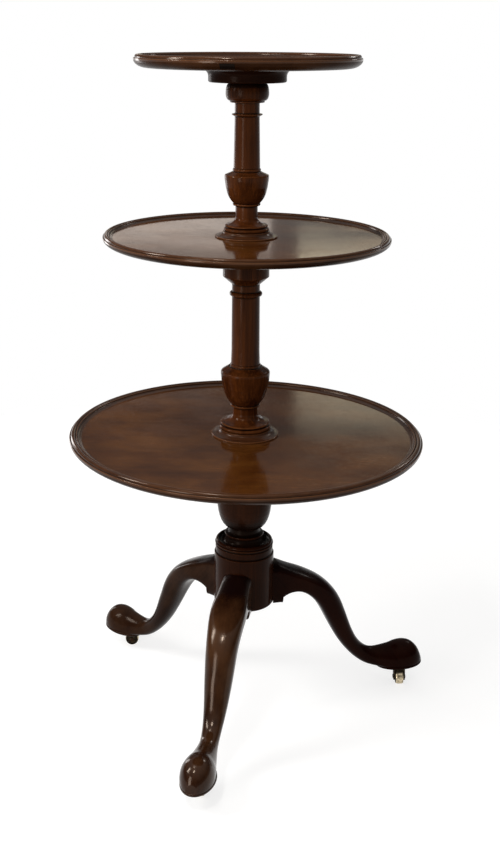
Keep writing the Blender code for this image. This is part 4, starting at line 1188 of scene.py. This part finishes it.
# Painted shade on the capital under the top tray's block: shares added to the hollow mark, by
# height.
UPPER_POST_PAINTED_SHADE = ((1.046, 0.0), (1.052, 0.18), (1.067, 0.18), (1.073, 0.45), (1.085, 0.45))
UPPER_POST_MOULDINGS = (
    (0, 965), (24, 965, "bead"), (28, 935), (31, 960), (42, 962, "bead"), (45, 945),
    (96, 518, "sweep"), (168, 515), (172, 590), (188, 590, "bead"), (193, 650), (210, 745),
    (229, 825), (255, 900), (297, 968), (345, 1018), (370, 1030), (379, 1015), (400, 690),
    (397, 655), (402, 630), (406, 655), (417, 655), (423, 614), (771, 575), (783, 712),
    (789, 712), (793, 576), (864, 574), (866, 800), (875, 806), (878, 825),
    (927, 1003, "sweep"), (992, 870, "turn"), (1000, 840),
)
turn_post(
    "upper", UPPER_POST_MOULDINGS, UPPER_POST_RADIUS, UPPER_POST_FOOT, UPPER_POST_HEAD,
    MIDDLE_POST_HEAD + CLEARANCE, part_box("upper_post")[1].z, UPPER_JOINTS,
    UPPER_POST_PAINTED_SHADE, (0, 1.9, 0),
)

# Block under the top tray: turned across the grain from dark mahogany, with a hollow up
# to the tray, and held to it with four steel screws.
BLOCK_RADIUS = 0.0663
BLOCK_FLARE = 0.084
BLOCK_DRUM_SHARE = 0.40
BLOCK_EASE = 0.0018
SPIGOT_HOLE_RADIUS = 0.0113
SPIGOT_HOLE_DEPTH = 0.019
SCREW_HEAD = 0.0045
SCREW_SHANK = 0.0023
SCREW_HEAD_SINK = 0.00015
COUNTERSINK = 0.0025
SCREW_REACH = 0.0346
SCREW_STEPS = 32
block_low, block_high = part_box("top_boss")
drum_top = block_low.z + (block_high.z - block_low.z) * BLOCK_DRUM_SHARE
shown_outline = ease_corners([
    (SPIGOT_HOLE_RADIUS, block_low.z),
    (BLOCK_RADIUS - BLOCK_EASE, block_low.z),
    (BLOCK_RADIUS, block_low.z + BLOCK_EASE),
] + curve_points(
    (BLOCK_FLARE, drum_top), (BLOCK_FLARE - BLOCK_RADIUS, block_high.z - drum_top), 180, 90, 14,
) + [(0.0, block_high.z)], ARRIS)
block_outline = add_rings([
    (0.0, block_low.z + SPIGOT_HOLE_DEPTH),
    (SPIGOT_HOLE_RADIUS, block_low.z + SPIGOT_HOLE_DEPTH),
] + shown_outline)
block = turn_piece("top_block", block_outline)
screw_places = []
for number in (1, 2, 3, 4):
    low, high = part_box(f"boss_screw_{number}")
    screw_places.append(((low.x + high.x) / 2, (low.y + high.y) / 2))
    dress_solid(f"boss_screw_{number}", screw_steel)


def screw_hole(spot, foot):
    """The countersunk hole of one of the four screws."""
    head, shank, top = foot + SCREW_HEAD_SINK, foot + COUNTERSINK, foot + SCREW_REACH
    return turn_piece("screw_hole", [
        (0.0, foot - 0.002), (SCREW_HEAD, foot - 0.002), (SCREW_HEAD, head),
        (SCREW_SHANK, shank), (SCREW_SHANK, top), (0.0, top),
    ], SCREW_STEPS, spot)


for spot in screw_places:
    join_shape(block, screw_hole(spot, block_low.z), "DIFFERENCE")
smooth_piece(block)
mark_quirks(block, block_outline)
fit_piece(
    block, polished_wood("block_mahogany", BLOCK_WOOD, GRAIN_ACROSS, (0, 0, 0.8)),
    "top_tier", "top_boss",
)

# Top tray and the small dark piece let into the front of its rim, where a break was
# mended with ebonised wood and the mouldings were worked through it.
PATCH = (273.7, 0.023, 0.0108, 0.009, 0.0012)
PATCH_PAST = 0.004
TOP_TIP = 1.117
TOP_RIM_WIDTH = 0.017
TOP_RIM_RISE = 0.0072
TOP_FIELD_EDGE = 0.1755
EBONISED_WOOD = dict(
    COLLAR_WOOD, ground=(0.0060, 0.0040, 0.0030), ribbon=(0.003, 0.002, 0.0016),
    streak=(0.012, 0.007, 0.0045), rubbed=(0.020, 0.010, 0.007),
    gloss=0.24, specular=0.04,
)


def patch_block(clearance):
    """The block of rim that the let-in piece takes up."""
    azimuth, width, height, depth, margin = PATCH
    underside, _, radius = place_of("top_tray")
    made = make_block(
        radius - depth - clearance, radius + PATCH_PAST, width + 2 * clearance,
        underside + margin + height / 2, height + 2 * clearance,
    )
    turn_into_place(made, azimuth)
    return made


top_underside, _, top_radius = place_of("top_tray")
top_outline = [(0.0, top_underside)]
top_outline += tray_edge(
    top_radius, TOP_TIP, TOP_TIP - top_underside, TOP_RIM_WIDTH, TOP_RIM_RISE,
)
top_outline += [
    (top_radius - TOP_RIM_WIDTH, TOP_TIP - FIELD_SINK), (0.0, TOP_TIP - FIELD_SINK),
]
top_outline = add_rings(top_outline)
top_tray = turn_piece("top_dished_tray", top_outline, TRAY_STEPS)
rim_piece = turn_piece("let_in_rim_piece", top_outline, TRAY_STEPS)
join_shape(top_tray, patch_block(CLEARANCE), "DIFFERENCE")
join_shape(rim_piece, patch_block(0.0), "INTERSECT")
for spot in screw_places:
    join_shape(top_tray, screw_hole(spot, block_low.z), "DIFFERENCE")
for piece in (top_tray, rim_piece):
    smooth_piece(piece)
    mark_quirks(piece, top_outline)
finish_tray(top_tray, "top", TOP_TIP, TOP_FIELD_EDGE, (5.2, 1.3, 0.0))
fit_piece(
    rim_piece, polished_wood("let_in_wood", EBONISED_WOOD, GRAIN_ACROSS), "top_tier",
    "rim_patch",
)
